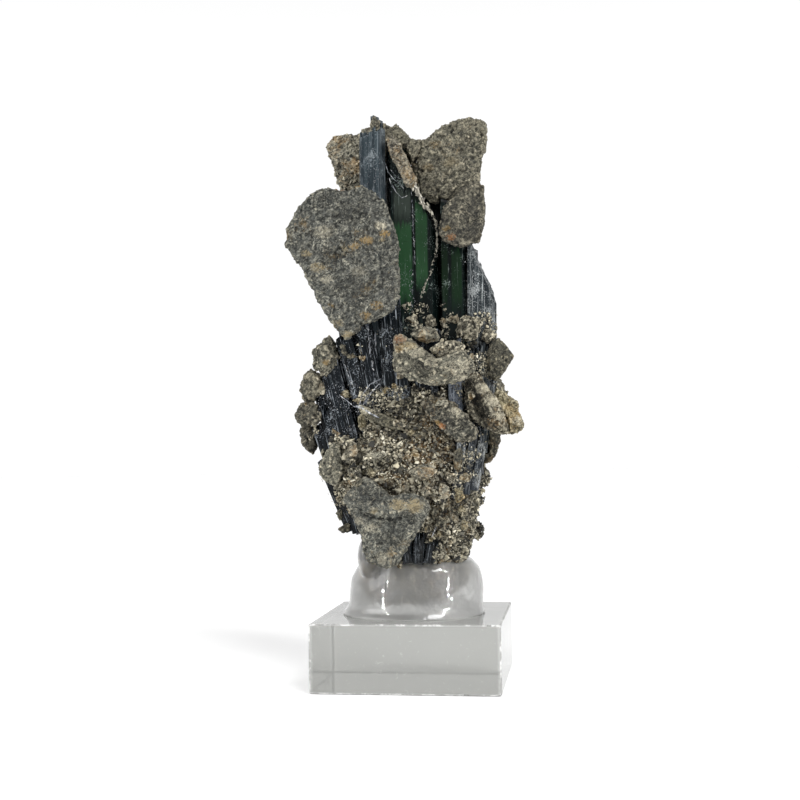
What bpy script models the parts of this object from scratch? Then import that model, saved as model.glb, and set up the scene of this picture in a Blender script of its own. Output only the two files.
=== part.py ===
"""A tall vivianite specimen held upright by a mound of clear glue on a clear block.

The dark bladed crystals stand in a gravel matrix, and broken stones lie against them. Lengths below are in
millimetres, and MM turns them into Blender's metres. X runs to the right, Y away from the viewer and Z up,
with the origin at the centre of the block's underside. Outlines are pairs of x and z, as seen from the front.
"""

import math
import random
from dataclasses import dataclass

import bmesh
import bpy
from mathutils import Matrix, Vector, noise
from mathutils.geometry import delaunay_2d_cdt

MM = 0.001

BLOCK_SIDE = 50.0
BLOCK_HEIGHT = 18.0
BLOCK_EDGE = 0.4

GAP = 0.35
SEAT_GAP = 0.3
WELD = 0.004

# A blade's flat front and back, as a share of its width.
BLADE_FLAT = 0.74

# How fine the unevenness of a stone's face and of the gravel is, in turns of noise per millimetre.
FACE_NOISE = 0.16
GRAVEL_NOISE = 0.21

# The most that a stone's corner is drawn in, as a share of its distance to the middle.
MOST_DRAWN_IN = 0.45

# The sharpest corner that an outline is moved outwards round.
SHARPEST_CORNER = 0.6

STONE_GREY = (0.19, 0.18, 0.155)
MATRIX_BROWN = (0.2, 0.18, 0.13)
CRYSTAL_GREEN = (0.012, 0.03, 0.026)
CLEAR = (0.85, 0.86, 0.85)


@dataclass
class Blade:
    """A flat-faced crystal from foot to tip. Its end slopes by chisel along its width and by nib through it."""

    foot: tuple
    tip: tuple
    width: float
    thick: float
    chisel: float = 0.3
    nib: float = 0.2
    turn: float = 0.0


@dataclass
class Stone:
    """A broken stone. Its face stands at depth face_y, and facing is -1 towards the viewer or 1 away."""

    name: str
    face_y: float
    thick: float
    outline: list
    chip: float = 1.0
    taper: float = 1.6
    relief: float = 0.7
    pitch: float = 7.0
    lean_x: float = 0.0
    lean_z: float = 0.0
    facing: int = -1
    ridge: tuple = ()


BLADES = [
    # The tall pillars above the matrix, left to right.
    Blade((-12.5, -3.0, 58), (-18.4, -4.5, 110), 6.5, 7.0, -0.6),
    Blade((-9.6, -6.5, 56), (-9.6, -5.8, 150.4), 7.4, 7.6, 0.35, -0.2),
    Blade((1.2, -2.5, 54), (1.2, -2.5, 136), 15.0, 10.0, -1.9, 0.1),
    Blade((-2.4, -1.0, 100), (-2.6, -1.0, 148), 5.0, 8.0, -0.5),
    Blade((12.2, -1.8, 54), (12.2, -1.8, 131.6), 7.8, 9.4, -0.3),
    Blade((18.8, -0.5, 70), (19.6, -0.5, 113.4), 9.0, 8.6, -2.2),
    Blade((-9.2, 2.5, 140), (-9.4, 2.0, 156.9), 3.8, 3.4, -0.5, 0.5),
    # The pillars behind them.
    Blade((-14.5, 6.0, 50), (-15.5, 6.5, 126), 8.0, 8.0, 0.5, 0.3, 12),
    Blade((-6.0, 7.5, 50), (-6.0, 7.5, 143), 9.0, 9.0, 0.4, -0.3, -8),
    Blade((4.0, 8.0, 48), (4.5, 8.5, 142.5), 9.5, 9.0, -0.4, 0.4, 6),
    Blade((13.0, 7.5, 48), (14.0, 8.0, 121), 9.0, 8.4, -0.6, 0.2, -10),
    Blade((18.0, 7.0, 66), (19.6, 7.5, 104), 6.0, 7.0, -0.5, 0.3, 8),
    # The lower left sheaf, which leans outwards as it rises.
    Blade((-8.0, -8.6, 60), (-17.6, -9.4, 95), 5.6, 5.4, 0.4, 0.1),
    Blade((-4.6, -9.0, 58), (-13.6, -8.8, 103), 6.4, 6.0, 0.5, 0.1),
    Blade((-2.4, -8.6, 58), (-5.8, -8.2, 108), 7.0, 6.4, 0.4, 0.1),
    Blade((-11.5, -6.4, 46), (-21.8, -7.0, 87), 7.2, 6.4, 0.6, 0.1),
    Blade((-10.5, -4.5, 34), (-21.4, -4.8, 78), 9.4, 8.6, 0.5, 0.1),
    Blade((-14.0, -3.0, 38), (-25.6, -3.6, 71), 5.8, 7.6, 0.5, 0.1),
    Blade((-14.0, -5.0, 36), (-23.6, -6.0, 60), 6.4, 6.6, 0.4, 0.1),
    Blade((-15.0, -3.6, 42), (-24.2, -4.2, 79.5), 6.2, 7.0, 0.4, 0.1),
    Blade((-13.5, 3.0, 40), (-23.5, 5.0, 82), 7.0, 8.0, 0.5, 0.1, 10),
    # The pillars under the middle stones.
    Blade((-1.0, -9.4, 56), (-1.2, -9.2, 92), 5.0, 5.4, 0.3),
    Blade((5.0, -8.2, 56), (5.2, -8.0, 96), 8.0, 5.0, -0.2),
    Blade((13.3, -10.2, 54), (12.7, -9.8, 92), 4.2, 5.0, 0.4),
    Blade((17.6, -7.6, 56), (17.0, -7.0, 90), 5.2, 6.0, 0.3),
    Blade((18.4, -4.4, 62), (21.4, -3.8, 92), 5.0, 7.0, -0.4),
    # Small blades in the lower right and at the foot.
    Blade((12.8, -12.6, 50), (15.2, -14.8, 66.5), 3.0, 3.6, 0.6, 0.3),
    Blade((15.4, -12.2, 51), (18.0, -14.0, 67.8), 2.6, 3.2, 0.5, 0.3),
    Blade((17.6, -11.0, 52), (20.0, -12.6, 64), 2.6, 3.2, -0.6, 0.3),
    Blade((0.4, -12.6, 29), (-0.6, -14.2, 40.5), 3.4, 3.6, 0.2, 0.3),
    Blade((2.4, -12.8, 29), (3.2, -14.4, 41), 3.6, 3.6, 0.2, 0.3),
    Blade((4.6, -12.6, 29), (6.6, -14.0, 38.5), 3.2, 3.4, 0.2, 0.3),
    # The far side.
    Blade((-11.0, 10.5, 44), (-15.5, 14.5, 98), 7.4, 6.0, 0.5, 0.3, 14),
    Blade((-4.0, 12.5, 46), (-7.5, 14.5, 112), 7.0, 6.0, -0.4, 0.3),
    Blade((3.5, 13.0, 46), (3.0, 14.0, 101), 6.0, 5.6, 0.4, 0.3, -6),
    Blade((11.0, 12.5, 44), (15.0, 14.0, 92), 7.6, 6.2, -0.5, 0.3, 8),
]

STONES = [
    Stone(
        "left_slab", -21.0, 10.5,
        [(-31.3, 118), (-31.2, 122.4), (-28.7, 126.4), (-26, 130.3), (-22, 133.2), (-17.8, 133),
         (-14.5, 132.5), (-10.5, 133.4), (-7.6, 131.8), (-4.4, 129.3), (-3.2, 126), (-1.8, 122.4),
         (-1, 116.5), (-0.6, 111), (-0.7, 102.8), (-2.2, 99.9), (-7.5, 97.2), (-10.4, 96.0), (-15.1, 91.8),
         (-17.4, 94.8), (-20.4, 99.1), (-23, 104), (-25.6, 109.2), (-28.3, 113.2)],
        relief=0.8, pitch=8.5, lean_z=0.03, taper=2.6,
    ),
    Stone(
        "upper_left_stone", 3.0, 11.0,
        [(-24.3, 150.5), (-22.5, 152.8), (-19, 153.4), (-15.8, 153.5), (-12, 155.4), (-9, 154), (-5.5, 148),
         (-6.5, 138), (-9, 129), (-19.2, 129), (-20.9, 137.5), (-22.6, 144.3), (-24.2, 147.6)],
        relief=1.2, pitch=6.5,
        ridge=((-20.5, 145.5, -1.2), (-15.5, 144.2, -1.6), (-10.5, 146.5, -0.8), (-17, 150, -0.2),
               (-17.5, 138, 1.0)),
    ),
    Stone(
        "crown_stone", 1.0, 9.0,
        [(-11.8, 151), (-10.3, 155.2), (-8, 156.4), (-6.8, 154.6), (-5.1, 154.2), (-3.9, 155.4),
         (-2.5, 153.9), (-1.1, 152.1), (0.2, 149.8), (0.8, 144), (-4, 141), (-10.5, 143)],
        relief=1.0, pitch=4.5, chip=0.8, taper=1.2,
    ),
    Stone(
        "crown_splinter", -9.5, 5.0,
        [(-5.2, 148.4), (-3.2, 149.2), (-0.8, 145.6), (1.2, 140.6), (2.8, 136.6), (2.2, 134.4),
         (0.2, 135.6), (-1.9, 138.8), (-3.4, 142.2), (-4.6, 145)],
        relief=0.5, pitch=4.0, chip=0.6, taper=0.5,
    ),
    Stone(
        "upper_middle_stone", -5.0, 9.0,
        [(-1.4, 148.4), (0.6, 149.2), (3.5, 148.7), (3.6, 146.5), (2.2, 143.8), (1.1, 143), (-0.3, 145.8)],
        relief=0.4, pitch=4.0, chip=0.5, taper=0.5,
    ),
    Stone(
        "upper_right_stone", -4.6, 12.0,
        [(3.8, 148.6), (5.6, 148.9), (8.1, 151.6), (9.8, 153), (13.7, 153.5), (17.3, 154.7), (20, 154),
         (21.7, 152.8), (21.9, 149), (21.3, 145.5), (20.1, 142.8), (19.9, 138), (19.4, 136.6),
         (15.1, 135.4), (12.6, 133), (8.4, 131), (6, 131.6), (4, 133.1), (2.9, 135.6), (2.1, 138.5),
         (1.3, 141.6), (2.4, 143.4), (3.9, 146.4)],
        relief=1.0, pitch=6.5, lean_x=-0.05, taper=2.2,
    ),
    Stone(
        "right_slab", -14.0, 9.5,
        [(15.6, 132.4), (18.3, 133.9), (20.5, 134.4), (21.6, 133.2), (21.8, 127.8), (21.6, 122.9),
         (20.2, 118.4), (17.5, 117.8), (14.6, 117.2), (10.9, 118.5), (9.5, 120.7), (9.8, 123.9),
         (10.2, 127.2), (12.6, 129.9)],
        relief=0.6, pitch=6.5, lean_x=-0.05, taper=1.6,
    ),
    Stone(
        "boat_stone", -21.6, 11.0,
        [(-2, 93.2), (-0.5, 93.2), (1.8, 92), (4.4, 90.2), (6.6, 88.4), (9.2, 86.6), (12.4, 87.2),
         (15.6, 88.6), (18.2, 86.4), (19, 83.8), (17.1, 81.5), (15.4, 80.7), (12.2, 80), (9, 79.5),
         (5.4, 80.1), (2.4, 81), (0.1, 82.1), (-2.2, 83.7), (-2.8, 86), (-2.3, 89.2)],
        relief=0.8, pitch=5.0, chip=1.2, taper=1.8,
        ridge=((1.2, 89.2, -1.6), (4.4, 86.8, -2.2), (7.8, 84.8, -2.4), (11.4, 84.2, -1.4), (15, 84.2, -0.6),
               (2.4, 84, -0.4), (6.8, 82, 0.2)),
    ),
    Stone(
        "nested_stone", -18.6, 8.6,
        [(6.9, 89.4), (9.8, 91), (14.3, 91.6), (16.4, 89.9), (15.8, 89.2), (12.5, 87.8), (9.3, 87.3)],
        relief=0.5, pitch=4.0, chip=0.6, taper=0.4,
    ),
    Stone(
        "perched_pebble", -18.4, 9.2,
        [(1.6, 93.5), (2.5, 94.6), (3.8, 95.3), (6.4, 95.5), (8.5, 95), (9.2, 93.4), (8.9, 92.0),
         (7.3, 91.6), (5.2, 91.4), (3.4, 92.2)],
        relief=0.5, pitch=3.5, chip=0.9, taper=0.6,
    ),
    Stone(
        "right_wedge", -13.5, 12.5,
        [(15.6, 83.2), (17.4, 84), (19.3, 83), (20.6, 81.1), (21.9, 79), (23.7, 76.8), (25.5, 73.1),
         (27, 69.3), (27.2, 67), (25.6, 66.6), (23, 67.2), (20.6, 68.4), (17, 71), (16, 74.8),
         (15.7, 79.1)],
        relief=0.6, pitch=5.5, chip=1.0, taper=2.4,
        ridge=((18.6, 81, -0.8), (20.6, 77, -1.9), (22.9, 72.6, -2.2), (25.2, 69, -1.4), (18.3, 75.4, 0.9),
               (20.2, 71.2, 1.2)),
    ),
    Stone(
        "right_flank_stone", -10.6, 10.0,
        [(23.9, 79.3), (25.7, 77.9), (27.5, 76.6), (29.4, 75.2), (29.3, 73.3), (30.4, 70.9), (31.1, 69.3),
         (30.6, 67.5), (28.7, 66.7), (25, 67.1), (25.4, 69.9), (24.1, 73.1), (22.8, 76.4)],
        relief=0.6, pitch=4.0, chip=0.6, taper=0.8,
    ),
    Stone(
        "right_back_stone", -9.0, 10.0,
        [(24.7, 92.9), (26.3, 91.3), (28, 88.8), (28.4, 88), (27.6, 85.8), (25.6, 83.2), (23.4, 81.1),
         (22, 82.2), (21.2, 84.6), (21.5, 89.5), (23, 92.2)],
        relief=0.6, pitch=4.5, chip=0.7, taper=1.2,
    ),
    Stone(
        "crumbly_stone", -11.0, 7.0,
        [(14.2, 97), (13.1, 94.6), (13.3, 93.3), (14.9, 92.7), (17.1, 92.1), (19, 92.6), (20.1, 94.7),
         (20.4, 96.9), (18.8, 98.3), (16.7, 99.1), (15.3, 98.9)],
        relief=0.8, pitch=3.0, chip=1.1, taper=1.0,
    ),
    Stone(
        "crumbly_side_stone", -8.6, 6.0,
        [(20.7, 95.7), (22.9, 95.1), (24.2, 93.5), (23.4, 92.2), (21.2, 91.7), (19.9, 93.1)],
        relief=0.5, pitch=3.0, chip=0.7, taper=0.8,
    ),
    Stone(
        "right_low_stone", -4.5, 11.0,
        [(18, 68.2), (21, 67.9), (24.2, 67.8), (24, 65.2), (23.4, 62.6), (22.4, 60.8), (20.5, 58.9),
         (18.4, 59.2), (17.2, 63.5)],
        relief=0.8, pitch=4.5, chip=0.8,
    ),
    Stone(
        "left_upper_pebble", -12.0, 10.0,
        [(-21.6, 94.5), (-23, 93.4), (-25, 91.5), (-26.7, 90.2), (-26.1, 87.5), (-26.7, 86.1),
         (-25.1, 84.7), (-23.4, 83.6), (-21.7, 83.3), (-20.3, 84.9), (-18.9, 88.2), (-20, 90.6),
         (-20.5, 92.8)],
        relief=0.8, pitch=4.0, chip=0.8, taper=1.0,
    ),
    Stone(
        "left_second_pebble", -10.0, 9.0,
        [(-27.2, 85.4), (-28.8, 84.1), (-29.8, 82.2), (-30.3, 80), (-29.8, 77.8), (-28.9, 76.7),
         (-27, 76.4), (-25.6, 77.7), (-22.2, 80.6), (-22.4, 83), (-25.2, 84.6)],
        relief=0.8, pitch=4.0, chip=0.8, taper=1.0,
    ),
    Stone(
        "left_third_pebble", -10.5, 9.5,
        [(-29.1, 76.4), (-30.8, 74.9), (-31.9, 73.1), (-30.8, 71.2), (-30, 70), (-28.6, 69.2), (-27, 70.3),
         (-25.9, 72.5), (-25, 74.6), (-25.6, 76)],
        relief=0.8, pitch=4.0, chip=0.8, taper=1.0,
    ),
    Stone(
        "left_fourth_pebble", -8.5, 8.0,
        [(-31, 69.7), (-31, 68), (-30.2, 66.3), (-30.2, 64.6), (-28.6, 62.7), (-27.2, 61.8), (-26.2, 64),
         (-26.3, 66.5), (-26.4, 68.9), (-27.8, 69.8)],
        relief=0.6, pitch=3.5, chip=0.7, taper=0.8,
    ),
    Stone(
        "low_left_wedge", -15.6, 9.0,
        [(-19.7, 65.5), (-20.8, 64.5), (-23, 60.7), (-24, 57.8), (-23.9, 56.7), (-22, 54.8), (-19.5, 53),
         (-18.2, 54), (-17.5, 57.7), (-17.7, 61.7), (-18.5, 64.4)],
        relief=0.4, pitch=5.0, chip=0.6, taper=0.8,
        ridge=((-20.1, 63, -0.9), (-20.4, 59, -1.5), (-21.3, 56.2, -0.8)),
    ),
    Stone(
        "low_slab", -23.6, 8.6,
        [(-10.2, 56.2), (-8.4, 55.4), (-6.8, 54), (-3.4, 50.8), (-1.1, 51), (0.8, 51.7), (2.8, 51.5),
         (5.2, 51), (6.6, 49.6), (6.8, 47.5), (5.6, 44.7), (4.3, 42.2), (1.3, 37.8), (-0.5, 34.7),
         (-1.9, 32.9), (-4.7, 32.2), (-7.1, 32.7), (-9.2, 33.7), (-11, 36.4), (-11, 38.4), (-11.4, 40.8),
         (-13, 43.8), (-13.9, 46.4), (-16.1, 50.2), (-13.7, 53.1)],
        relief=0.5, pitch=6.0, lean_z=-0.02, taper=1.8,
        ridge=((-10, 52, -0.5), (-6, 49.6, -0.2), (-11, 48.2, -0.7), (-6.5, 46.4, -0.8), (-1.5, 46.8, -0.8),
               (2.8, 47.8, -0.9), (-8, 44.4, 0.9), (-3.5, 43.6, 1.1), (1.2, 44.2, 0.9), (-7, 40, 0.3),
               (-2.6, 39.6, 0.2), (-6, 36, 0.7)),
    ),
    Stone(
        "diagonal_stone", -19.6, 7.6,
        [(4.6, 75.4), (6.6, 76.5), (10.5, 76), (13, 75), (16.4, 71.6), (19.4, 67.9), (18.4, 65.2),
         (14.6, 64.7), (11.2, 67), (8, 70.2), (5.6, 73.2)],
        relief=0.5, pitch=5.0, chip=0.8, taper=1.0,
        ridge=((8.4, 73.8, -0.6), (12.6, 71.4, -0.9), (15.6, 67.8, -0.5)),
    ),
    Stone(
        "thin_plate", -18.8, 6.6,
        [(-12.7, 75), (-11, 74.9), (-8.4, 73.4), (-5, 72.2), (-1.5, 70.4), (-0.3, 68), (-5, 68.9), (-9, 71),
         (-12.2, 73.2)],
        relief=0.3, pitch=5.0, chip=0.5, taper=0.2,
    ),
    # The far side.
    Stone(
        "back_slab", 21.5, 9.0,
        [(-17, 108), (-13.5, 112.5), (-6, 115), (1.5, 113.5), (7.5, 109), (9, 101), (7, 93), (0.5, 87.5),
         (-7, 86), (-13.5, 90.5), (-17.5, 99)],
        facing=1, relief=1.0, pitch=8.0, taper=2.6,
    ),
    Stone(
        "back_upper_stone", 15.5, 10.0,
        [(-14, 131), (-9, 136.5), (-2, 137), (2, 132.5), (0.5, 124), (-5.5, 119.5), (-12, 121.5)],
        facing=1, relief=1.0, pitch=6.0, taper=2.0,
    ),
    Stone(
        "back_right_stone", 19.0, 10.0,
        [(9.5, 88), (14.5, 91.5), (20.5, 89), (22.5, 82), (20, 74.5), (13.5, 72.5), (9, 78)],
        facing=1, relief=0.9, pitch=6.0, taper=2.0,
    ),
    Stone(
        "back_left_stone", 20.0, 10.0,
        [(-22, 70), (-16, 75.5), (-9.5, 74), (-7, 66.5), (-10, 58.5), (-16, 56.5), (-21.5, 61)],
        facing=1, relief=0.9, pitch=6.0, taper=2.0,
    ),
    Stone(
        "back_low_stone", 19.0, 8.0,
        [(-6, 52), (0, 56.5), (7.5, 55.5), (11, 49.5), (8.5, 42), (2, 38.5), (-4.5, 42)],
        facing=1, relief=0.8, pitch=6.0, taper=1.8,
    ),
]

# The gravel body, level by level: height, then how far it reaches left, right, to the front and to the back.
MATRIX_LEVELS = [
    (20.6, -9.5, 5.0, -8.5, 6.0),
    (25.0, -12.0, 11.5, -11.5, 9.0),
    (30.5, -13.0, 14.0, -13.5, 11.5),
    (38.0, -14.6, 16.0, -15.5, 13.5),
    (46.0, -18.0, 18.0, -16.6, 15.0),
    (55.0, -18.6, 19.4, -16.8, 16.0),
    (63.0, -18.4, 19.6, -16.4, 16.0),
    (70.0, -15.6, 18.6, -15.2, 15.0),
    (77.0, -11.0, 18.0, -12.4, 14.0),
    (84.0, -6.0, 18.5, -9.0, 13.0),
    (90.0, 6.0, 20.5, -7.0, 11.0),
]
MATRIX_SIDES = 20
MATRIX_ROUGHNESS = 0.9

# Pebbles that stand out of the gravel: centre x, y, z, then half-sizes in x, y, z.
PEBBLES = [
    (-9.0, -16.6, 60.6, 2.6, 1.8, 1.5),
    (4.6, -16.6, 57.0, 4.4, 2.0, 2.1),
    (-2.2, -17.0, 53.6, 1.4, 1.6, 2.1),
    (-6.0, -16.6, 53.8, 3.4, 1.6, 1.5),
    (4.8, -16.4, 50.6, 2.0, 1.8, 2.2),
    (8.8, -16.8, 50.8, 2.3, 2.0, 2.4),
    (12.8, -16.0, 51.2, 1.9, 1.8, 2.0),
    (-14.6, -15.0, 61.6, 1.9, 1.8, 2.6),
    (-16.8, -11.2, 61.4, 4.4, 3.4, 4.8),
    (-15.6, -12.0, 55.0, 3.8, 3.2, 4.6),
    (-19.6, -10.0, 65.4, 2.2, 2.4, 2.0),
    (-14.2, -15.6, 56.8, 1.7, 1.8, 2.6),
    (-15.6, -14.6, 64.6, 1.6, 1.5, 1.4),
    (-13.2, -16.2, 52.4, 1.4, 1.6, 2.4),
    (-4.8, -15.0, 76.2, 2.2, 2.2, 2.0),
    (-8.2, -15.0, 78.4, 2.2, 2.0, 2.2),
    (-1.2, -14.6, 79.0, 1.8, 1.8, 1.6),
    (1.4, -15.4, 74.4, 2.6, 2.0, 1.7),
    (14.6, -9.4, 90.4, 2.6, 2.6, 2.2),
    (1.4, -9.6, 97.6, 2.4, 2.2, 2.2),
    (7.6, -9.0, 97.8, 2.2, 2.4, 2.8),
    (3.0, -8.2, 92.0, 3.0, 3.2, 3.2),
    (9.6, -9.2, 93.4, 1.8, 2.4, 1.8),
    (18.4, -13.2, 47.6, 2.6, 2.2, 2.2),
    (16.6, -13.4, 38.6, 2.6, 2.4, 2.6),
    (9.6, -15.4, 43.4, 2.8, 2.2, 2.4),
    (8.2, -14.8, 35.4, 2.2, 2.2, 2.0),
    (-19.0, -6.0, 44.4, 2.6, 2.6, 2.6),
    (-17.2, -5.0, 39.6, 2.2, 2.4, 2.2),
]
SEEDED_PEBBLES = 46
PEBBLE_SIZES = (1.2, 2.6)

# The glue, level by level from its foot on the block to its rim.
GLUE_LEVELS = [
    (BLOCK_HEIGHT + SEAT_GAP, -20.0, 19.2, -17.4, 17.0),
    (19.0, -19.5, 18.9, -16.8, 16.4),
    (20.8, -18.4, 18.7, -15.8, 15.4),
    (24.0, -18.2, 18.9, -15.8, 15.2),
    (27.4, -17.8, 18.7, -16.0, 14.8),
    (30.4, -16.2, 17.8, -16.4, 14.0),
    (32.8, -14.6, 15.8, -15.2, 12.6),
    (34.2, -11.6, 12.0, -12.0, 9.8),
]
GLUE_SIDES = 20
GLUE_WALL = (-11.6, -9.0, 34.0, 2.7, 7.0, 5.6)


def material(name, colour, roughness, clear=0.0):
    """A Principled material of one colour. clear is how much light goes through it."""
    made = bpy.data.materials.new(name)
    made.use_nodes = True
    shader = made.node_tree.nodes["Principled BSDF"]
    shader.inputs["Base Color"].default_value = (*colour, 1.0)
    shader.inputs["Roughness"].default_value = roughness
    shader.inputs["Transmission Weight"].default_value = clear
    return made


def mesh_of(bm, name):
    """A mesh from millimetres in bm, with its faces triangulated and turned outwards."""
    bm.normal_update()
    bmesh.ops.triangulate(bm, faces=bm.faces, quad_method="FIXED", ngon_method="EAR_CLIP")
    bmesh.ops.recalc_face_normals(bm, faces=bm.faces)
    mesh = bpy.data.meshes.new(name)
    bm.to_mesh(mesh)
    bm.free()
    return mesh


def object_of(mesh, name, finish=None):
    """An object in the scene that shows mesh."""
    made = bpy.data.objects.new(name, mesh)
    bpy.context.scene.collection.objects.link(made)
    if finish:
        mesh.materials.clear()
        mesh.materials.append(finish)
    return made


def box_of(mesh):
    """The lowest and the highest corner of mesh's bounding box."""
    spots = [vertex.co for vertex in mesh.vertices]
    return [Vector([pick(spot[axis] for spot in spots) for axis in range(3)]) for pick in (min, max)]


def combined(base, tools, operation):
    """The mesh base after a Boolean with each mesh in tools, one after the other."""
    body = object_of(base.copy(), "boolean_body")
    helpers = [object_of(tool, "boolean_tool") for tool in tools]
    for helper in helpers:
        step = body.modifiers.new("Boolean", "BOOLEAN")
        step.operation = operation
        step.solver = "EXACT"
        step.object = helper
    graph = bpy.context.evaluated_depsgraph_get()
    result = bpy.data.meshes.new_from_object(body.evaluated_get(graph))
    for helper in [body, *helpers]:
        bpy.data.objects.remove(helper)
    return result


def carved(base, cutters):
    """The mesh base after each cutter that reaches its bounding box is taken away from it."""
    low, high = box_of(base)
    reaching = []
    for cutter in cutters:
        cutter_low, cutter_high = box_of(cutter)
        if all(cutter_low[k] < high[k] and cutter_high[k] > low[k] for k in range(3)):
            reaching.append(cutter)
    return largest_body(combined(base, reaching, "DIFFERENCE"))


def shell_volume(faces):
    """Six times the volume that a closed shell of triangles holds."""
    corners = [[loop.vert.co for loop in face.loops] for face in faces]
    return abs(sum(a.dot(b.cross(c)) for a, b, c in corners))


def largest_body(mesh):
    """Removes every separate crumb of mesh but the largest body, and welds the seams of its cuts."""
    bm = bmesh.new()
    bm.from_mesh(mesh)
    bmesh.ops.remove_doubles(bm, verts=bm.verts, dist=WELD)
    bmesh.ops.dissolve_degenerate(bm, edges=bm.edges, dist=WELD)
    bmesh.ops.triangulate(bm, faces=bm.faces)
    waiting = set(bm.faces)
    shells = []
    while waiting:
        reached = [waiting.pop()]
        for face in reached:
            for edge in face.edges:
                found = waiting.intersection(edge.link_faces)
                waiting -= found
                reached.extend(found)
        shells.append(reached)
    shells.sort(key=shell_volume)
    for shell in shells[:-1]:
        bmesh.ops.delete(bm, geom=shell, context="FACES")
    bmesh.ops.delete(bm, geom=[v for v in bm.verts if not v.link_faces], context="VERTS")
    bm.to_mesh(mesh)
    bm.free()
    return mesh


def blade_mesh(blade, grow=0.0):
    """A six-sided crystal with a sloping end, larger by grow all round."""
    foot, tip = Vector(blade.foot), Vector(blade.tip)
    axis = (tip - foot).normalized()
    across = Matrix.Rotation(math.radians(blade.turn), 3, "Z") @ Vector((1, 0, 0))
    across = (across - axis * across.dot(axis)).normalized()
    through = axis.cross(across)
    half, deep = blade.width / 2 + grow, blade.thick / 2 + grow
    flat = BLADE_FLAT * half
    section = [(-half, 0), (-flat, -deep), (flat, -deep), (half, 0), (flat, deep), (-flat, deep)]
    bm = bmesh.new()
    rings = []
    for end, slope in ((foot - axis * grow, 0.0), (tip + axis * grow, 1.0)):
        ring = []
        for u, v in section:
            rise = slope * (blade.chisel * u + blade.nib * v)
            ring.append(bm.verts.new(end + across * u + through * v + axis * rise))
        rings.append(ring)
        bm.faces.new(ring)
    for k in range(len(section)):
        after = (k + 1) % len(section)
        bm.faces.new([rings[0][k], rings[0][after], rings[1][after], rings[1][k]])
    return mesh_of(bm, "blade")


def crystal_cluster():
    """All the blades joined in one body."""
    first, *others = [blade_mesh(blade) for blade in BLADES]
    return largest_body(combined(first, others, "UNION"))


def counter_clockwise(outline):
    """The outline in counter-clockwise order, as seen from the front."""
    doubled = sum(a[0] * b[1] - b[0] * a[1] for a, b in zip(outline, outline[1:] + outline[:1]))
    return list(outline) if doubled > 0 else list(reversed(outline))


def offset_outline(outline, distance):
    """The counter-clockwise outline with each corner moved outwards, so that its sides move by distance."""
    points = [Vector(point) for point in outline]
    moved = []
    for k, here in enumerate(points):
        before = (here - points[k - 1]).normalized()
        after = (points[(k + 1) % len(points)] - here).normalized()
        outward = Vector((before.y + after.y, -before.x - after.x)).normalized()
        lengthening = max(outward.dot(Vector((before.y, -before.x))), SHARPEST_CORNER)
        moved.append(here + outward * (distance / lengthening))
    return moved


def shrunk_outline(outline, distance, aside, chance):
    """The outline with each corner drawn in towards the middle by distance, give or take up to aside."""
    points = [Vector(point) for point in outline]
    middle = sum(points, Vector((0, 0))) / len(points)
    shrunk = []
    for point in points:
        reach = (point - middle).length
        drawn_in = (distance + chance.uniform(-aside, aside)) / reach
        shrunk.append(point.lerp(middle, min(drawn_in, MOST_DRAWN_IN)))
    return shrunk


def inside(point, outline):
    """Whether point lies in the outline."""
    crossings = 0
    for a, b in zip(outline, outline[1:] + outline[:1]):
        if (a.y > point.y) != (b.y > point.y):
            crossings += point.x < a.x + (point.y - a.y) / (b.y - a.y) * (b.x - a.x)
    return crossings % 2 == 1


def face_points(stone, rim, chance):
    """Points inside the stone's face with their depths: its hand-placed ridge, or an uneven grid."""
    if stone.ridge:
        return [(Vector((x, z)), depth) for x, z, depth in stone.ridge]
    clear = offset_outline(rim, -0.3 * stone.pitch)
    low_x, high_x = min(p.x for p in rim), max(p.x for p in rim)
    low_z, high_z = min(p.y for p in rim), max(p.y for p in rim)
    found = []
    row = 0
    z = low_z
    while z < high_z:
        x = low_x + stone.pitch * (0.5 if row % 2 else 0.0)
        while x < high_x:
            aside = Vector((chance.uniform(-0.2, 0.2), chance.uniform(-0.2, 0.2)))
            point = Vector((x, z)) + aside * stone.pitch
            spot = Vector((point.x, point.y, stone.face_y))
            depth = stone.relief * noise.noise(spot * FACE_NOISE) * 2
            if inside(point, clear) and inside(point, rim):
                found.append((point, depth))
            x += stone.pitch
        row += 1
        z += stone.pitch * 0.85
    return found


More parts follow.
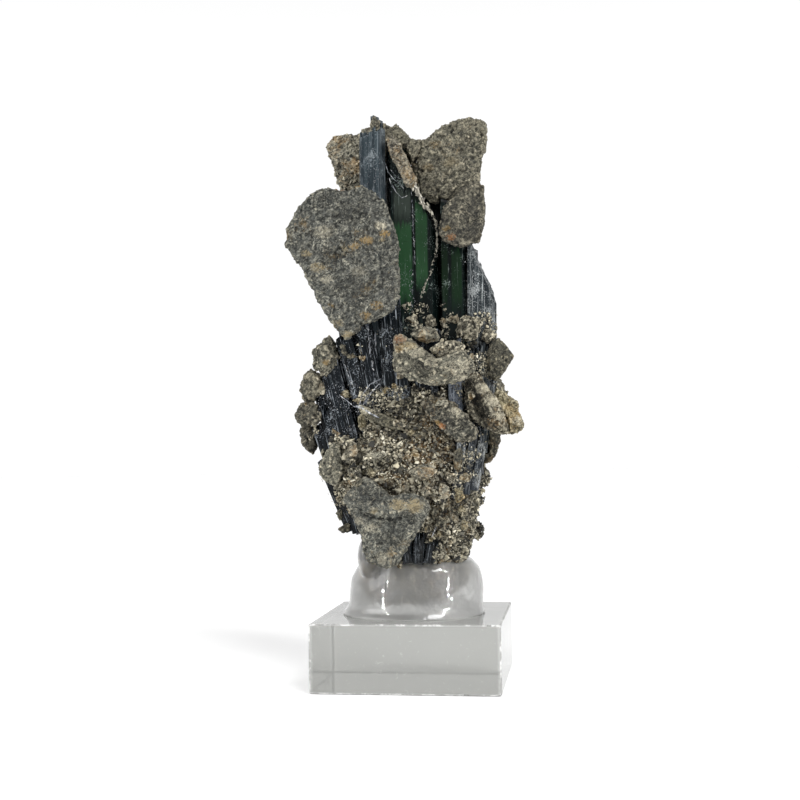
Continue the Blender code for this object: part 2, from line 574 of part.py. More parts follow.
def stone_mesh(stone, grow=0.0):
    """A broken stone: an uneven face, a chipped rim, and sides that taper towards its back."""
    chance = random.Random(stone.name)
    outline = counter_clockwise(stone.outline)
    middle = sum((Vector(p) for p in outline), Vector((0, 0))) / len(outline)

    def placed(point, depth):
        lean = stone.lean_x * (point.x - middle.x) + stone.lean_z * (point.y - middle.y)
        return Vector((point.x, stone.face_y + lean - stone.facing * depth, point.y))

    rings = [
        (-grow, stone.chip, 0.15, 0.15),
        (0.7 * stone.chip, 0, 0.1, 0.1),
        (0.55 * stone.thick, 0.25 * stone.taper, 0.3, 0.3),
        (stone.thick - stone.chip, 0.7 * stone.taper, 0.3, 0.3),
        (stone.thick + grow, stone.taper + stone.chip, 0.3, 0.0),
    ]
    bm = bmesh.new()
    loops = []
    rim = []
    for depth, drawn_in, aside, deeper in rings:
        true_size = shrunk_outline(outline, drawn_in, aside, chance)
        rim = rim or true_size
        loop = []
        for point in offset_outline(true_size, grow):
            loop.append(bm.verts.new(placed(point, depth + chance.uniform(-deeper, deeper))))
        loops.append(loop)
    for near, far in zip(loops, loops[1:]):
        for k in range(len(near)):
            after = (k + 1) % len(near)
            bm.faces.new([near[k], near[after], far[after], far[k]])
    bm.faces.new(loops[-1])
    inner = face_points(stone, rim, chance)
    flat = rim + [point for point, _ in inner]
    sides = [(k, (k + 1) % len(rim)) for k in range(len(rim))]
    spots, _, triangles, sources, _, _ = delaunay_2d_cdt(flat, sides, [], 0, 1e-6, True)
    corners = loops[0] + [bm.verts.new(placed(point, depth - grow)) for point, depth in inner]
    for triangle in triangles:
        if inside(sum((spots[k] for k in triangle), Vector((0, 0))) / 3, rim):
            bm.faces.new([corners[sources[k][0]] for k in triangle])
    return mesh_of(bm, stone.name)


def level_rings(bm, levels, sides, roughness=0.0, power=2.4, grow=0.0):
    """A closed body through rings of points, each a rounded box between its level's four reaches."""
    loops = []
    for height, left, right, front, back in levels:
        centre = Vector(((left + right) / 2, (front + back) / 2, height))
        half_x, half_y = (right - left) / 2, (back - front) / 2
        loop = []
        for k in range(sides):
            angle = math.tau * k / sides
            c, s = math.cos(angle), math.sin(angle)
            reach = (abs(c) ** power + abs(s) ** power) ** (-1 / power)
            point = centre + Vector((half_x * reach * c, half_y * reach * s, 0))
            lump = roughness * noise.noise(point * GRAVEL_NOISE) * 2
            loop.append(bm.verts.new(point + Vector((c, s, 0)) * (lump + grow * math.sqrt(2))))
        loops.append(loop)
    for vertex in loops[0]:
        vertex.co.z -= grow
    for vertex in loops[-1]:
        vertex.co.z += grow
    for low, high in zip(loops, loops[1:]):
        for k in range(sides):
            after = (k + 1) % sides
            bm.faces.new([low[k], low[after], high[after], high[k]])
    bm.faces.new(loops[0])
    bm.faces.new(loops[-1])


def pebble_mesh(centre, half_sizes, chance, grow=0.0):
    """A small angular pebble."""
    bm = bmesh.new()
    bmesh.ops.create_icosphere(bm, subdivisions=1, radius=1.0)
    rolled = Matrix.Rotation(chance.uniform(0, math.tau), 3, "Y")
    turn = rolled @ Matrix.Rotation(chance.uniform(-0.4, 0.4), 3, "X")
    for vertex in bm.verts:
        rounder = turn @ vertex.co * chance.uniform(0.88, 1.14)
        vertex.co = Vector([c + r * (h + grow) for c, r, h in zip(centre, rounder, half_sizes)])
    return mesh_of(bm, "pebble")


def pebbles(grow=0.0):
    """The hand-placed pebbles, then more around the gravel's sides."""
    chance = random.Random(7)
    made = [pebble_mesh(p[:3], p[3:], chance, grow) for p in PEBBLES]
    for _ in range(SEEDED_PEBBLES):
        step = chance.randrange(2, len(MATRIX_LEVELS) - 2)
        low, high = MATRIX_LEVELS[step], MATRIX_LEVELS[step + 1]
        share = chance.random()
        height, left, right, front, back = [a + (b - a) * share for a, b in zip(low, high)]
        angle = chance.uniform(-0.25, 1.25) * math.pi
        centre = ((left + right) / 2 + (right - left) / 2 * math.cos(angle),
                  (front + back) / 2 + (back - front) / 2 * math.sin(angle), height)
        size = chance.uniform(*PEBBLE_SIZES)
        half_sizes = [size * chance.uniform(0.75, 1.25) for _ in range(3)]
        made.append(pebble_mesh(centre, half_sizes, chance, grow))
    return made


def gravel_mass(grow=0.0):
    """The gravel body with its pebbles fused in."""
    bm = bmesh.new()
    level_rings(bm, MATRIX_LEVELS, MATRIX_SIDES, MATRIX_ROUGHNESS, grow=grow)
    return combined(mesh_of(bm, "gravel"), pebbles(grow), "UNION")


def glue_mass():
    """The glue before the specimen's foot is taken out of it: a mound with a bulge up its left side."""
    bm = bmesh.new()
    level_rings(bm, GLUE_LEVELS, GLUE_SIDES, power=2.2)
    mound = mesh_of(bm, "mound")
    bm = bmesh.new()
    x, y, z, half_x, half_y, half_z = GLUE_WALL
    bmesh.ops.create_icosphere(bm, subdivisions=2, radius=1.0)
    bmesh.ops.transform(bm, verts=bm.verts, matrix=Matrix.Diagonal((half_x, half_y, half_z, 1.0)))
    bmesh.ops.translate(bm, verts=bm.verts, vec=(x, y, z))
    return combined(mound, [mesh_of(bm, "bulge")], "UNION")


def block_mesh():
    """The clear block, with its edges taken off."""
    bm = bmesh.new()
    bmesh.ops.create_cube(bm, size=1.0)
    bmesh.ops.scale(bm, verts=bm.verts, vec=(BLOCK_SIDE, BLOCK_SIDE, BLOCK_HEIGHT))
    bmesh.ops.translate(bm, verts=bm.verts, vec=(0, 0, BLOCK_HEIGHT / 2))
    bmesh.ops.bevel(bm, geom=bm.edges, offset=BLOCK_EDGE, segments=1, affect="EDGES")
    return mesh_of(bm, "block")


def in_metres(mesh):
    mesh.transform(Matrix.Scale(MM, 4))
    return mesh


def main():
    for old in list(bpy.data.objects):
        bpy.data.objects.remove(old)

    stone_finish = material("grey stone", STONE_GREY, 0.85)
    gravel_finish = material("gravel matrix", MATRIX_BROWN, 0.9)
    crystal_finish = material("vivianite", CRYSTAL_GREEN, 0.2)
    clear_finish = material("clear plastic", CLEAR, 0.05, clear=1.0)

    finished = {"vivianite_crystals": (crystal_cluster(), crystal_finish)}
    cutters = [blade_mesh(blade, GAP) for blade in BLADES]
    for stone in STONES:
        finished[stone.name] = (carved(stone_mesh(stone), cutters), stone_finish)
        cutters.append(stone_mesh(stone, GAP))
    finished["gravel_matrix"] = (carved(gravel_mass(), cutters), gravel_finish)
    cutters.append(gravel_mass(GAP))
    glue = carved(glue_mass(), cutters)
    finished["glue_mound"] = (glue, clear_finish)
    finished["clear_block"] = (block_mesh(), clear_finish)

    for name, (mesh, finish) in finished.items():
        object_of(in_metres(mesh), name, finish)


if __name__ == "__main__":
    main()
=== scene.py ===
"""The looks of a vivianite specimen on its clear block.

The stones and the gravel are roughened skins over the solids of the frame. The crystals are rebuilt as blades
with upright steps, and grains, splinters and chips are laid on what the frame holds. Lengths in the lists below
are in millimetres, and MM turns them into metres.
"""

import math
import random

import bmesh
import bpy
from bpy.props import FloatProperty, FloatVectorProperty, IntProperty, PointerProperty
from mathutils import Matrix, Vector, noise
from mathutils.bvhtree import BVHTree


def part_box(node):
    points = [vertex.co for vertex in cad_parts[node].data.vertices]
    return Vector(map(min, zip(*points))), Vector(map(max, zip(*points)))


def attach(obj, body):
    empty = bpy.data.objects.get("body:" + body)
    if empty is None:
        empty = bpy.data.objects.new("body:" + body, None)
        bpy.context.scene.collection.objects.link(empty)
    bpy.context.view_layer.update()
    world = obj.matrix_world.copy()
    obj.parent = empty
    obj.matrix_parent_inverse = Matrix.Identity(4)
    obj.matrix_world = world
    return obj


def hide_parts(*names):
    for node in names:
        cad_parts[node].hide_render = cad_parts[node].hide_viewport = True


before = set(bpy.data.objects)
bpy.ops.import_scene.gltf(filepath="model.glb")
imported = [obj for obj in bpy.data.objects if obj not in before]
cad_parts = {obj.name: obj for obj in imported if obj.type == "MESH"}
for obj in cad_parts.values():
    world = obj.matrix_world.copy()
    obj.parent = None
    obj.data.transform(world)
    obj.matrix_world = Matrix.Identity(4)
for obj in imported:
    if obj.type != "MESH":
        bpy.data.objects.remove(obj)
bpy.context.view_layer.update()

bl_info = {
    "name": "Vivianite specimen",
    "version": (1, 0, 0),
    "blender": (4, 5, 0),
    "location": "View3D > Sidebar > Vivianite",
    "description": "Builds the surfaces of a vivianite specimen on a clear block",
    "category": "Object",
}

MM = 0.001
PER_MM = 1000.0
BODY = "root"

# The camera that sees what the photograph shows: place in millimetres, angles in degrees, lens in millimetres.
CAMERA_PLACE = (45.4, -346.9, 62.0)
CAMERA_YAW = 8.04
CAMERA_PITCH = 2.42
CAMERA_ROLL = -0.8
CAMERA_LENS = 56.6

# The studio: how bright its wall is in front and behind, the share of that overhead, the broad lamps (where
# they stand, strength, breadth in degrees), and the rows of small lamps (x, y, lowest, highest, count, power).
SKY_FRONT = 0.42
SKY_BACK = 1.03
SKY_TOP = 0.55
SUNS = [
    ("key light", (0.45, -0.6, 0.8), 1.5, 22),
    ("left light", (-0.8, -0.3, 0.5), 0.5, 30),
]
LAMP_ROWS = [
    (-230, -210, 60, 330, 12, 0.05),
    (250, -190, 60, 330, 12, 0.05),
]

# Each stone's node, the finish it has and how deep its broken surface is.
STONES = {
    "left_slab": ("slab stone", 1.0),
    "upper_left_stone": ("pale stone", 1.3),
    "crown_stone": ("brown stone", 1.2),
    "crown_splinter": ("splintery stone", 0.9),
    "upper_middle_stone": ("brown stone", 0.8),
    "upper_right_stone": ("brown stone", 1.0),
    "right_slab": ("deep brown stone", 0.8),
    "boat_stone": ("boat stone", 0.9),
    "nested_stone": ("granular stone", 0.8),
    "perched_pebble": ("pale stone", 0.8),
    "crumbly_stone": ("granular stone", 1.3),
    "crumbly_side_stone": ("granular stone", 1.1),
    "right_wedge": ("wedge stone", 0.8),
    "right_flank_stone": ("yellow stone", 1.1),
    "right_back_stone": ("dark stone", 0.8),
    "right_low_stone": ("dark stone", 1.2),
    "left_upper_pebble": ("boat stone", 1.1),
    "left_second_pebble": ("brown stone", 1.1),
    "left_third_pebble": ("deep brown stone", 1.1),
    "left_fourth_pebble": ("deep brown stone", 1.0),
    "low_left_wedge": ("boat stone", 0.7),
    "low_slab": ("grey stone", 0.8),
    "diagonal_stone": ("diagonal stone", 1.0),
    "thin_plate": ("plate stone", 0.4),
    "back_slab": ("grey stone", 1.2),
    "back_upper_stone": ("brown stone", 1.1),
    "back_right_stone": ("brown stone", 1.1),
    "back_left_stone": ("grey stone", 1.1),
    "back_low_stone": ("dark stone", 1.1),
}

# Patches on a finish: middle, reach, colour and how much of it shows.
OCHRE = (0.3, 0.2, 0.075)
ORANGE = (0.36, 0.15, 0.045)
CREAM = (0.5, 0.46, 0.35)
TAN = (0.32, 0.26, 0.15)
# SHADOW is painted shade: dark patches laid where a face, a crack or a hollow of a stone lies in shade.
SHADOW = (0.012, 0.012, 0.01)
PATCHES = {
    "slab stone": [
        ((-5.2, -21, 122.2), 2.2, CREAM, 0.9), ((-4.2, -21, 120.0), 2.0, OCHRE, 1.0), ((-5.0, -21, 118.4), 1.4, TAN, 0.9),
        ((-9.0, -21, 118.4), 2.4, OCHRE, 0.7), ((-12.4, -21, 117.2), 2.2, OCHRE, 0.7), ((-15.0, -21, 116.4), 1.6, TAN, 0.7),
        ((-20.6, -20, 121.0), 3.4, CREAM, 0.5), ((-22.4, -20, 111.6), 2.6, TAN, 0.7), ((-25.4, -20, 115.4), 2.0, TAN, 0.7),
        ((-19.8, -20, 108.4), 2.4, CREAM, 0.5), ((-6.5, -20, 101.0), 2.4, OCHRE, 0.8), ((-9.4, -20, 98.6), 2.2, OCHRE, 0.7),
        ((-14.4, -20, 93.4), 2.4, TAN, 0.8), ((-16, -19.5, 133.4), 2.2, ORANGE, 0.8), ((-12, -19.5, 133.6), 1.8, OCHRE, 0.8),
        ((-18.5, -20, 101.5), 1.8, OCHRE, 0.6), ((-17, -20, 96.5), 2.4, TAN, 0.6), ((-11, -20, 110), 3.0, CREAM, 0.35),
        ((-13.0, -20, 125.5), 6.0, SHADOW, 0.5), ((-12.0, -20, 106.0), 7.0, SHADOW, 0.5), ((-19.0, -20, 115.0), 4.0, SHADOW, 0.4),
    ],
    "brown stone": [
        ((8, -5, 147), 2.4, OCHRE, 0.4), ((12, -5, 142), 3.0, TAN, 0.4), ((18, -14, 126), 3.0, TAN, 0.35),
        ((6.0, -5, 141), 2.4, OCHRE, 0.35),
    ],
    "deep brown stone": [
        ((12.4, -14, 119.6), 2.0, ORANGE, 0.6), ((17.0, -14, 117.2), 2.4, CREAM, 0.5), ((11.4, -14, 122.0), 1.6, OCHRE, 0.5),
        ((-27.5, -12, 73.0), 2.0, OCHRE, 0.5), ((-28.0, -12, 67.6), 1.8, ORANGE, 0.6),
    ],
    "wedge stone": [
        ((15.2, -14, 80.5), 4.0, SHADOW, 0.9), ((18.4, -14, 76.5), 4.0, SHADOW, 0.9), ((21.0, -14, 72.5), 3.0, SHADOW, 0.7),
        ((21.6, -14, 79.0), 3.4, CREAM, 0.8), ((23.4, -14, 75.6), 3.4, CREAM, 0.8), ((25.6, -14, 71.6), 3.0, CREAM, 0.9),
        ((17.6, -14, 82.8), 2.4, CREAM, 0.7),
    ],
    "boat stone": [
        ((-1.0, -21.6, 92.0), 2.8, ORANGE, 0.45), ((-0.4, -21.6, 89.6), 2.4, OCHRE, 0.6), ((2.4, -21.6, 90.0), 2.8, TAN, 0.8),
        ((4.4, -21.6, 88.0), 2.8, CREAM, 0.8), ((8.0, -21.6, 86.0), 2.6, CREAM, 0.9), ((5.6, -21.6, 84.4), 5.0, SHADOW, 0.5),
        ((12.6, -20, 84.2), 3.6, CREAM, 0.8), ((15.6, -20, 84.6), 3.4, CREAM, 0.8), ((15.4, -20, 81.8), 2.4, CREAM, 0.8),
        ((-22.0, -12, 87.0), 1.6, OCHRE, 0.7), ((-23.4, -12, 83.6), 1.6, ORANGE, 0.6), ((-20.0, -12, 58.0), 4.0, CREAM, 0.4),
        ((-24.5, -12, 88.0), 3.0, SHADOW, 0.4),
    ],
    "grey stone": [
        ((-1.2, -23.6, 48.6), 3.0, TAN, 0.8), ((3.0, -23.6, 48.4), 3.4, TAN, 0.8), ((-7.4, -23.6, 47.2), 1.8, TAN, 0.6),
        ((-8.6, -23.6, 42.6), 2.6, CREAM, 0.5), ((-6.0, -23.6, 52.0), 4.0, SHADOW, 0.4), ((-3.0, -23.6, 40.0), 5.0, SHADOW, 0.5),
        ((-11.5, -23.6, 44.4), 2.0, CREAM, 0.5), ((-5.4, -23.6, 35.0), 3.0, CREAM, 0.4),
        ((-9.4, -23.6, 46.1), 1.2, SHADOW, 1.0), ((-7.8, -23.6, 45.5), 1.2, SHADOW, 1.0), ((-5.6, -23.6, 45.1), 1.2, SHADOW, 1.0),
        ((-3.3, -23.6, 44.9), 1.3, SHADOW, 1.0), ((-0.9, -23.6, 45.0), 1.2, SHADOW, 1.0), ((1.8, -23.6, 44.6), 1.2, SHADOW, 0.9),
    ],
    "diagonal stone": [
        ((10.0, -19, 69.0), 1.8, ORANGE, 0.8), ((8.6, -19, 69.8), 1.6, OCHRE, 0.8), ((13.5, -19, 72.6), 2.4, CREAM, 0.7),
        ((9.5, -19, 75.2), 2.2, OCHRE, 0.5), ((7.0, -19, 74.0), 4.0, SHADOW, 0.6), ((11.5, -19, 71.0), 3.0, SHADOW, 0.5),
    ],
    "plate stone": [((-12.2, -19, 74.4), 1.6, (0.7, 0.68, 0.58), 1.0), ((-10.0, -19, 73.2), 2.0, CREAM, 0.8)],
    "yellow stone": [
        ((25.5, -10, 72.6), 4.0, (0.55, 0.47, 0.3), 0.8), ((29.6, -10, 70.4), 2.4, CREAM, 0.9),
        ((24.0, -10, 69.0), 3.0, SHADOW, 0.4),
    ],
}
# The felt of fine lines on stone: turn from the level in degrees, breadth and length.
FIBRES = [(24, 0.42, 3.4), (-46, 0.36, 2.6), (76, 0.38, 2.8), (-12, 0.3, 2.2)]

# The blades of each group: foot, tip, width, thickness, chisel, nib and turn, as the frame has them.
PILLARS = {
    "window_pillars": [
        ((1.2, -2.5, 54), (1.2, -2.5, 136), 15.0, 10.0, -1.9, 0.1, 0),
        ((-2.4, -1.0, 100), (-2.6, -1.0, 148), 5.0, 8.0, -0.5, 0.2, 0),
        ((12.2, -1.8, 54), (12.2, -1.8, 131.6), 7.8, 9.4, -0.3, 0.2, 0),
    ],
    "dusty_pillar": [
        ((-9.6, -6.5, 56), (-9.6, -5.8, 150.4), 7.4, 7.6, 0.35, -0.2, 0),
        ((-9.2, 2.5, 140), (-9.4, 2.0, 156.9), 3.8, 3.4, -0.5, 0.5, 0),
    ],
    "fibrous_pillar": [
        ((18.8, -0.5, 70), (19.6, -0.5, 113.4), 9.0, 8.6, -2.2, 0.2, 0),
        ((18.4, -4.4, 62), (21.4, -3.8, 92), 5.0, 7.0, -0.4, 0.2, 0),
    ],
    "far_pillars": [
        ((-12.5, -3.0, 58), (-18.4, -4.5, 110), 6.5, 7.0, -0.6, 0.2, 0),
        ((-14.5, 6.0, 50), (-15.5, 6.5, 126), 8.0, 8.0, 0.5, 0.3, 12),
        ((-6.0, 7.5, 50), (-6.0, 7.5, 143), 9.0, 9.0, 0.4, -0.3, -8),
        ((4.0, 8.0, 48), (4.5, 8.5, 142.5), 9.5, 9.0, -0.4, 0.4, 6),
        ((13.0, 7.5, 48), (14.0, 8.0, 121), 9.0, 8.4, -0.6, 0.2, -10),
        ((18.0, 7.0, 66), (19.6, 7.5, 104), 6.0, 7.0, -0.5, 0.3, 8),
        ((-11.0, 10.5, 44), (-15.5, 14.5, 98), 7.4, 6.0, 0.5, 0.3, 14),
        ((-4.0, 12.5, 46), (-7.5, 14.5, 112), 7.0, 6.0, -0.4, 0.3, 0),
        ((3.5, 13.0, 46), (3.0, 14.0, 101), 6.0, 5.6, 0.4, 0.3, -6),
        ((11.0, 12.5, 44), (15.0, 14.0, 92), 7.6, 6.2, -0.5, 0.3, 8),
    ],
    "left_sheaf": [
        ((-8.0, -8.6, 60), (-17.6, -9.4, 95), 5.6, 5.4, 0.4, 0.1, 0),
        ((-4.6, -9.0, 58), (-13.6, -8.8, 103), 6.4, 6.0, 0.5, 0.1, 0),
        ((-2.4, -8.6, 58), (-5.8, -8.2, 108), 7.0, 6.4, 0.4, 0.1, 0),
        ((-11.5, -6.4, 46), (-21.8, -7.0, 87), 7.2, 6.4, 0.6, 0.1, 0),
        ((-12.4, -4.5, 41), (-21.4, -4.8, 78), 9.4, 8.6, 0.5, 0.1, 0),
        ((-16.5, -3.0, 45), (-25.6, -3.6, 71), 5.8, 7.6, 0.5, 0.1, 0),
        ((-15.4, -5.0, 41.5), (-23.6, -6.0, 62), 6.4, 6.6, 0.4, 0.1, 0),
        ((-15.0, -3.6, 42), (-24.2, -4.2, 79.5), 6.2, 7.0, 0.4, 0.1, 0),
        ((-13.5, 3.0, 40), (-23.5, 5.0, 82), 7.0, 8.0, 0.5, 0.1, 10),
    ],
    "middle_pillars": [
        ((-1.0, -9.4, 56), (-1.2, -9.2, 92), 5.0, 5.4, 0.3, 0.2, 0),
        ((5.0, -8.2, 56), (5.2, -8.0, 96), 8.0, 5.0, -0.2, 0.2, 0),
        ((17.6, -7.6, 56), (17.0, -7.0, 90), 5.2, 6.0, 0.3, 0.2, 0),
    ],
    "dusty_blade": [((13.3, -10.2, 54), (12.7, -9.8, 92), 4.2, 5.0, 0.4, 0.2, 0)],
    "small_blades": [
        ((12.8, -12.6, 50), (15.2, -14.8, 66.5), 3.0, 3.6, 0.6, 0.3, 0),
        ((15.4, -12.2, 51), (18.0, -14.0, 67.8), 2.6, 3.2, 0.5, 0.3, 0),
        ((17.6, -11.0, 52), (20.0, -12.6, 64), 2.6, 3.2, -0.6, 0.3, 0),
    ],
    "foot_fan": [
        ((0.0, -13.2, 33), (-0.6, -14.2, 40.5), 3.4, 3.6, 0.2, 0.3, 0),
        ((2.7, -13.3, 32.8), (3.2, -14.4, 41), 3.6, 3.6, 0.2, 0.3, 0),
        ((5.4, -13.2, 33), (6.6, -14.0, 38.5), 3.2, 3.4, 0.2, 0.3, 0),
    ],
}
# How each group's faces are stepped: narrowest and widest step, deepest step, and how ragged its tips are.
STEPS = {
    "window_pillars": (0.7, 2.6, 0.16, 1.2),
    "dusty_pillar": (0.35, 1.3, 0.16, 1.6),
    "fibrous_pillar": (0.25, 0.7, 0.4, 4.0),
    "far_pillars": (0.5, 2.0, 0.3, 3.0),
    "left_sheaf": (0.3, 1.3, 0.35, 3.5),
    "middle_pillars": (0.3, 1.2, 0.3, 2.0),
    "dusty_blade": (0.3, 0.8, 0.2, 1.0),
    "small_blades": (0.2, 0.5, 0.35, 2.5),
    "foot_fan": (0.2, 0.5, 0.4, 2.5),
}
FINISH_OF = {
    "window_pillars": "window crystal",
    "dusty_pillar": "dusty crystal",
    "fibrous_pillar": "fibrous crystal",
    "far_pillars": "dark crystal",
    "left_sheaf": "dark crystal",
    "middle_pillars": "dark crystal",
    "dusty_blade": "speckled crystal",
    "small_blades": "splinter crystal",
    "foot_fan": "dark crystal",
}

# The clear patches in the front pillars, painted as colour in place of light seen through the crystal: left,
# right, low and high edges, how steeply the high edge falls to the right, and the share of green in it, or 0 for grey.
WINDOWS = [
    (-4.0, 1.5, 102.3, 125.6, 0.1, 1.0),
    (2.2, 5.8, 106.4, 131.0, 0.9, 1.0),
    (8.3, 11.2, 102.0, 118.8, 0.1, 0.26),
    (11.8, 15.0, 101.0, 117.4, 0.1, 0.36),
    (-3.7, 1.3, 124.6, 134.0, 0.1, 0.0),
]

GREY_PATCH = (0.028, 0.036, 0.03)

# Crushed pale seams on the front pillars: path as x and z, depth, chips, half breadth, chip size and flatness.
SEAMS = [
    ([(1.6, 138.2), (2.2, 135.4), (3.4, 132.6), (4.6, 130.4), (6.4, 128.2)], -8.6, 90, 0.55, 1.1, 0.5),
    ([(6.4, 128.4), (8.0, 125.2), (8.3, 121.6), (8.3, 117.8)], -8.0, 60, 0.22, 0.8, 0.4),
    ([(8.3, 118), (7.6, 115), (6.6, 112), (5.2, 108.4), (3.6, 104.4)], -7.8, 60, 0.4, 0.4, 0.6),
]
SILVER_SEAMS = [
    ([(1.4, 134.0), (1.7, 128.6), (1.8, 122.4), (2.0, 116.0), (2.3, 113.0)], -7.7, 60, 0.1, 0.55, 0.3),
    ([(1.0, 112.6), (0.8, 107.4), (1.4, 102.0)], -7.6, 50, 0.5, 0.45, 0.4),
    ([(-8.6, 94.6), (-8.4, 90.4), (-8.2, 86.8)], -11.6, 26, 0.12, 0.7, 0.4),
    ([(-10.6, 97.0), (-10.0, 90.4), (-9.0, 83.2)], -11.8, 40, 0.1, 0.8, 0.4),
]
# Hair-thin pale scratches and curled flake edges: path as x, y and z, and breadth.
SCRATCHES = [
    ([(-5.6, -8.2, 141.6), (-4.9, -8.0, 139.2), (-3.4, -7.9, 137.2), (-1.9, -7.9, 136.0), (-0.7, -7.9, 134.6)], 0.16),
    ([(-4.2, -8.0, 139.8), (-2.4, -7.9, 137.6), (-0.6, -7.9, 136.9), (0.6, -7.9, 137.5)], 0.12),
    ([(-3.8, -7.9, 135.6), (-2.8, -7.9, 133.6), (-1.2, -7.9, 131.9), (0.2, -7.9, 132.4)], 0.15),
    ([(-4.6, -7.9, 137.4), (-3.9, -7.9, 135.2), (-3.0, -7.9, 134.2)], 0.12),
    ([(-12.9, -13.2, 74.6), (-12.0, -13.8, 77.6), (-9.7, -14.0, 80.6), (-6.6, -14.0, 82.0)], 0.3),
    ([(-13.1, -13.4, 74.2), (-10.8, -13.9, 75.8), (-9.2, -14.0, 78.6), (-7.2, -14.0, 80.7)], 0.28),
    ([(-11.8, -13.6, 74.8), (-10.6, -13.9, 77.4), (-8.4, -14.0, 79.2)], 0.22),
    ([(-12.6, -20.0, 74.5), (-11.1, -20.1, 74.2), (-8.9, -20.1, 72.7), (-6.5, -19.8, 71.4)], 0.5),
    ([(-18.3, -12.2, 77.8), (-16.4, -12.3, 76.4), (-14.2, -12.4, 74.6)], 0.24),
    ([(-16.9, -12.2, 86.2), (-16.0, -12.3, 83.6), (-15.0, -12.3, 81.0)], 0.18),
    ([(8.4, -17.0, 44.3), (7.8, -17.0, 42.2), (6.7, -16.9, 39.9)], 0.24),
]
# Small stones seen on the gravel and the crystals: x, z, half breadth, half height and, where nothing lies
# behind them, their depth, by finish.
PEBBLES = {
    "pale stone": [
        (-7.6, 61.2, 2.4, 1.7), (-14.5, 62.5, 1.5, 2.1), (-14.7, 56.4, 1.1, 1.1), (-14.6, 54.5, 1.5, 1.0),
        (5.0, 56.8, 3.9, 1.9), (-0.6, 54.0, 0.9, 0.9), (-0.3, 52.7, 1.4, 2.0), (1.9, 52.8, 0.8, 1.0),
        (10.3, 51.6, 1.9, 2.1), (5.8, 51.8, 1.6, 2.2), (-19.7, 67.4, 1.2, 1.0), (-24.2, 62.4, 0.6, 1.6),
        (-19.7, 49.9, 0.8, 0.7), (-16.7, 47.1, 0.8, 1.9), (-16.8, 66.0, 1.1, 1.3), (-20.8, 68.2, 0.9, 0.8),
        (-12.1, 88.0, 0.9, 0.8), (-12.4, 89.6, 0.35, 0.7), (8.6, 93.9, 0.9, 0.7), (-1.8, 82.9, 1.5, 1.2),
        (17.0, 87.4, 1.6, 1.2), (13.8, 83.0, 1.2, 1.0), (18.4, 84.2, 1.0, 1.3), (10.0, 74.9, 1.8, 0.9),
    ],
    "granular stone": [
        (1.4, 98.0, 1.6, 1.9), (6.2, 97.9, 1.7, 2.0), (9.6, 97.4, 1.2, 1.5), (12.6, 98.4, 1.4, 1.5), (4.0, 95.2, 1.1, 0.9),
        (-10.4, 61.8, 1.6, 1.3), (-2.6, 61.6, 1.8, 1.3), (2.4, 61.6, 1.3, 1.0), (8.4, 59.4, 1.5, 1.2), (15.6, 55.4, 1.9, 1.5),
        (-17.8, 62.6, 1.6, 1.2), (-17.0, 58.2, 1.2, 1.6), (-15.9, 51.6, 1.3, 1.6), (11.6, 55.6, 1.5, 1.9), (0.6, 57.0, 1.2, 0.9),
        (-9.0, 69.6, 2.2, 1.5), (-5.4, 68.2, 2.0, 1.5), (-1.6, 69.8, 1.8, 1.3), (-7.8, 73.0, 1.2, 1.0), (-4.2, 75.6, 1.2, 0.9),
        (17.4, 51.6, 1.4, 1.6), (16.2, 42.4, 1.2, 2.0), (12.4, 44.6, 1.3, 1.4), (17.4, 77.0, 1.4, 1.6), (15.0, 46.8, 1.0, 1.2),
        (-25.9, 71.2, 1.6, 1.5, -8.6), (-25.4, 72.6, 0.9, 1.2, -8.4), (-25.9, 68.4, 0.9, 0.9, -8.4), (-25.6, 82.6, 1.4, 1.0, -9.0), (-23.8, 80.0, 1.3, 1.9, -9.2),
        (-28.2, 75.6, 1.0, 0.9, -8.8), (-27.4, 66.6, 0.8, 0.9, -8.4),
    ],
    "brown stone": [
        (-9.6, 154.6, 1.5, 2.6, -0.4), (-8.4, 151.6, 2.0, 1.7, -0.6), (-10.6, 151.4, 1.4, 1.5, -0.6), (-7.2, 149.6, 1.6, 1.3, -1.0),
    ],
    "yellow stone": [
        (-9.3, 57.0, 1.9, 1.2), (13.8, 50.9, 1.6, 2.2), (3.3, 39.2, 1.9, 1.7), (6.1, 39.3, 0.7, 0.8),
        (5.2, 41.8, 0.5, 0.9), (8.3, 40.4, 0.5, 1.0), (14.1, 46.5, 1.2, 2.2), (11.3, 63.3, 0.5, 0.7),
        (-16.8, 78.2, 1.8, 1.2), (-12.5, 71.1, 1.3, 2.1), (-13.6, 76.4, 1.2, 1.1), (-3.4, 80.0, 0.9, 0.9),
        (-6.0, 79.0, 1.0, 0.8), (14.6, 42.6, 1.4, 1.4), (1.4, 67.2, 1.2, 1.0),
    ],
    "dark stone": [
        (7.4, 46.4, 1.6, 2.4), (9.0, 43.6, 1.6, 2.2), (7.0, 42.6, 1.0, 1.4), (11.4, 47.0, 1.2, 1.2),
        (10.3, 48.5, 1.3, 1.0), (8.4, 47.6, 1.3, 1.2), (17.2, 47.8, 2.0, 1.7), (-4.5, 54.2, 1.9, 1.3),
        (-11.8, 54.6, 1.2, 1.4), (-16.4, 89.4, 1.4, 1.1), (-15.0, 88.4, 1.7, 1.0), (-17.4, 90.6, 1.1, 1.5),
        (13.8, 60.5, 1.3, 4.4), (4.0, 66.6, 2.4, 1.0), (11.0, 65.4, 1.6, 0.8),
        (1.5, 141.9, 1.5, 2.2, -1.5), (-18.2, 41.8, 1.8, 1.5, -8.6), (-19.3, 45.4, 1.2, 1.5, -8.8),
    ],
}
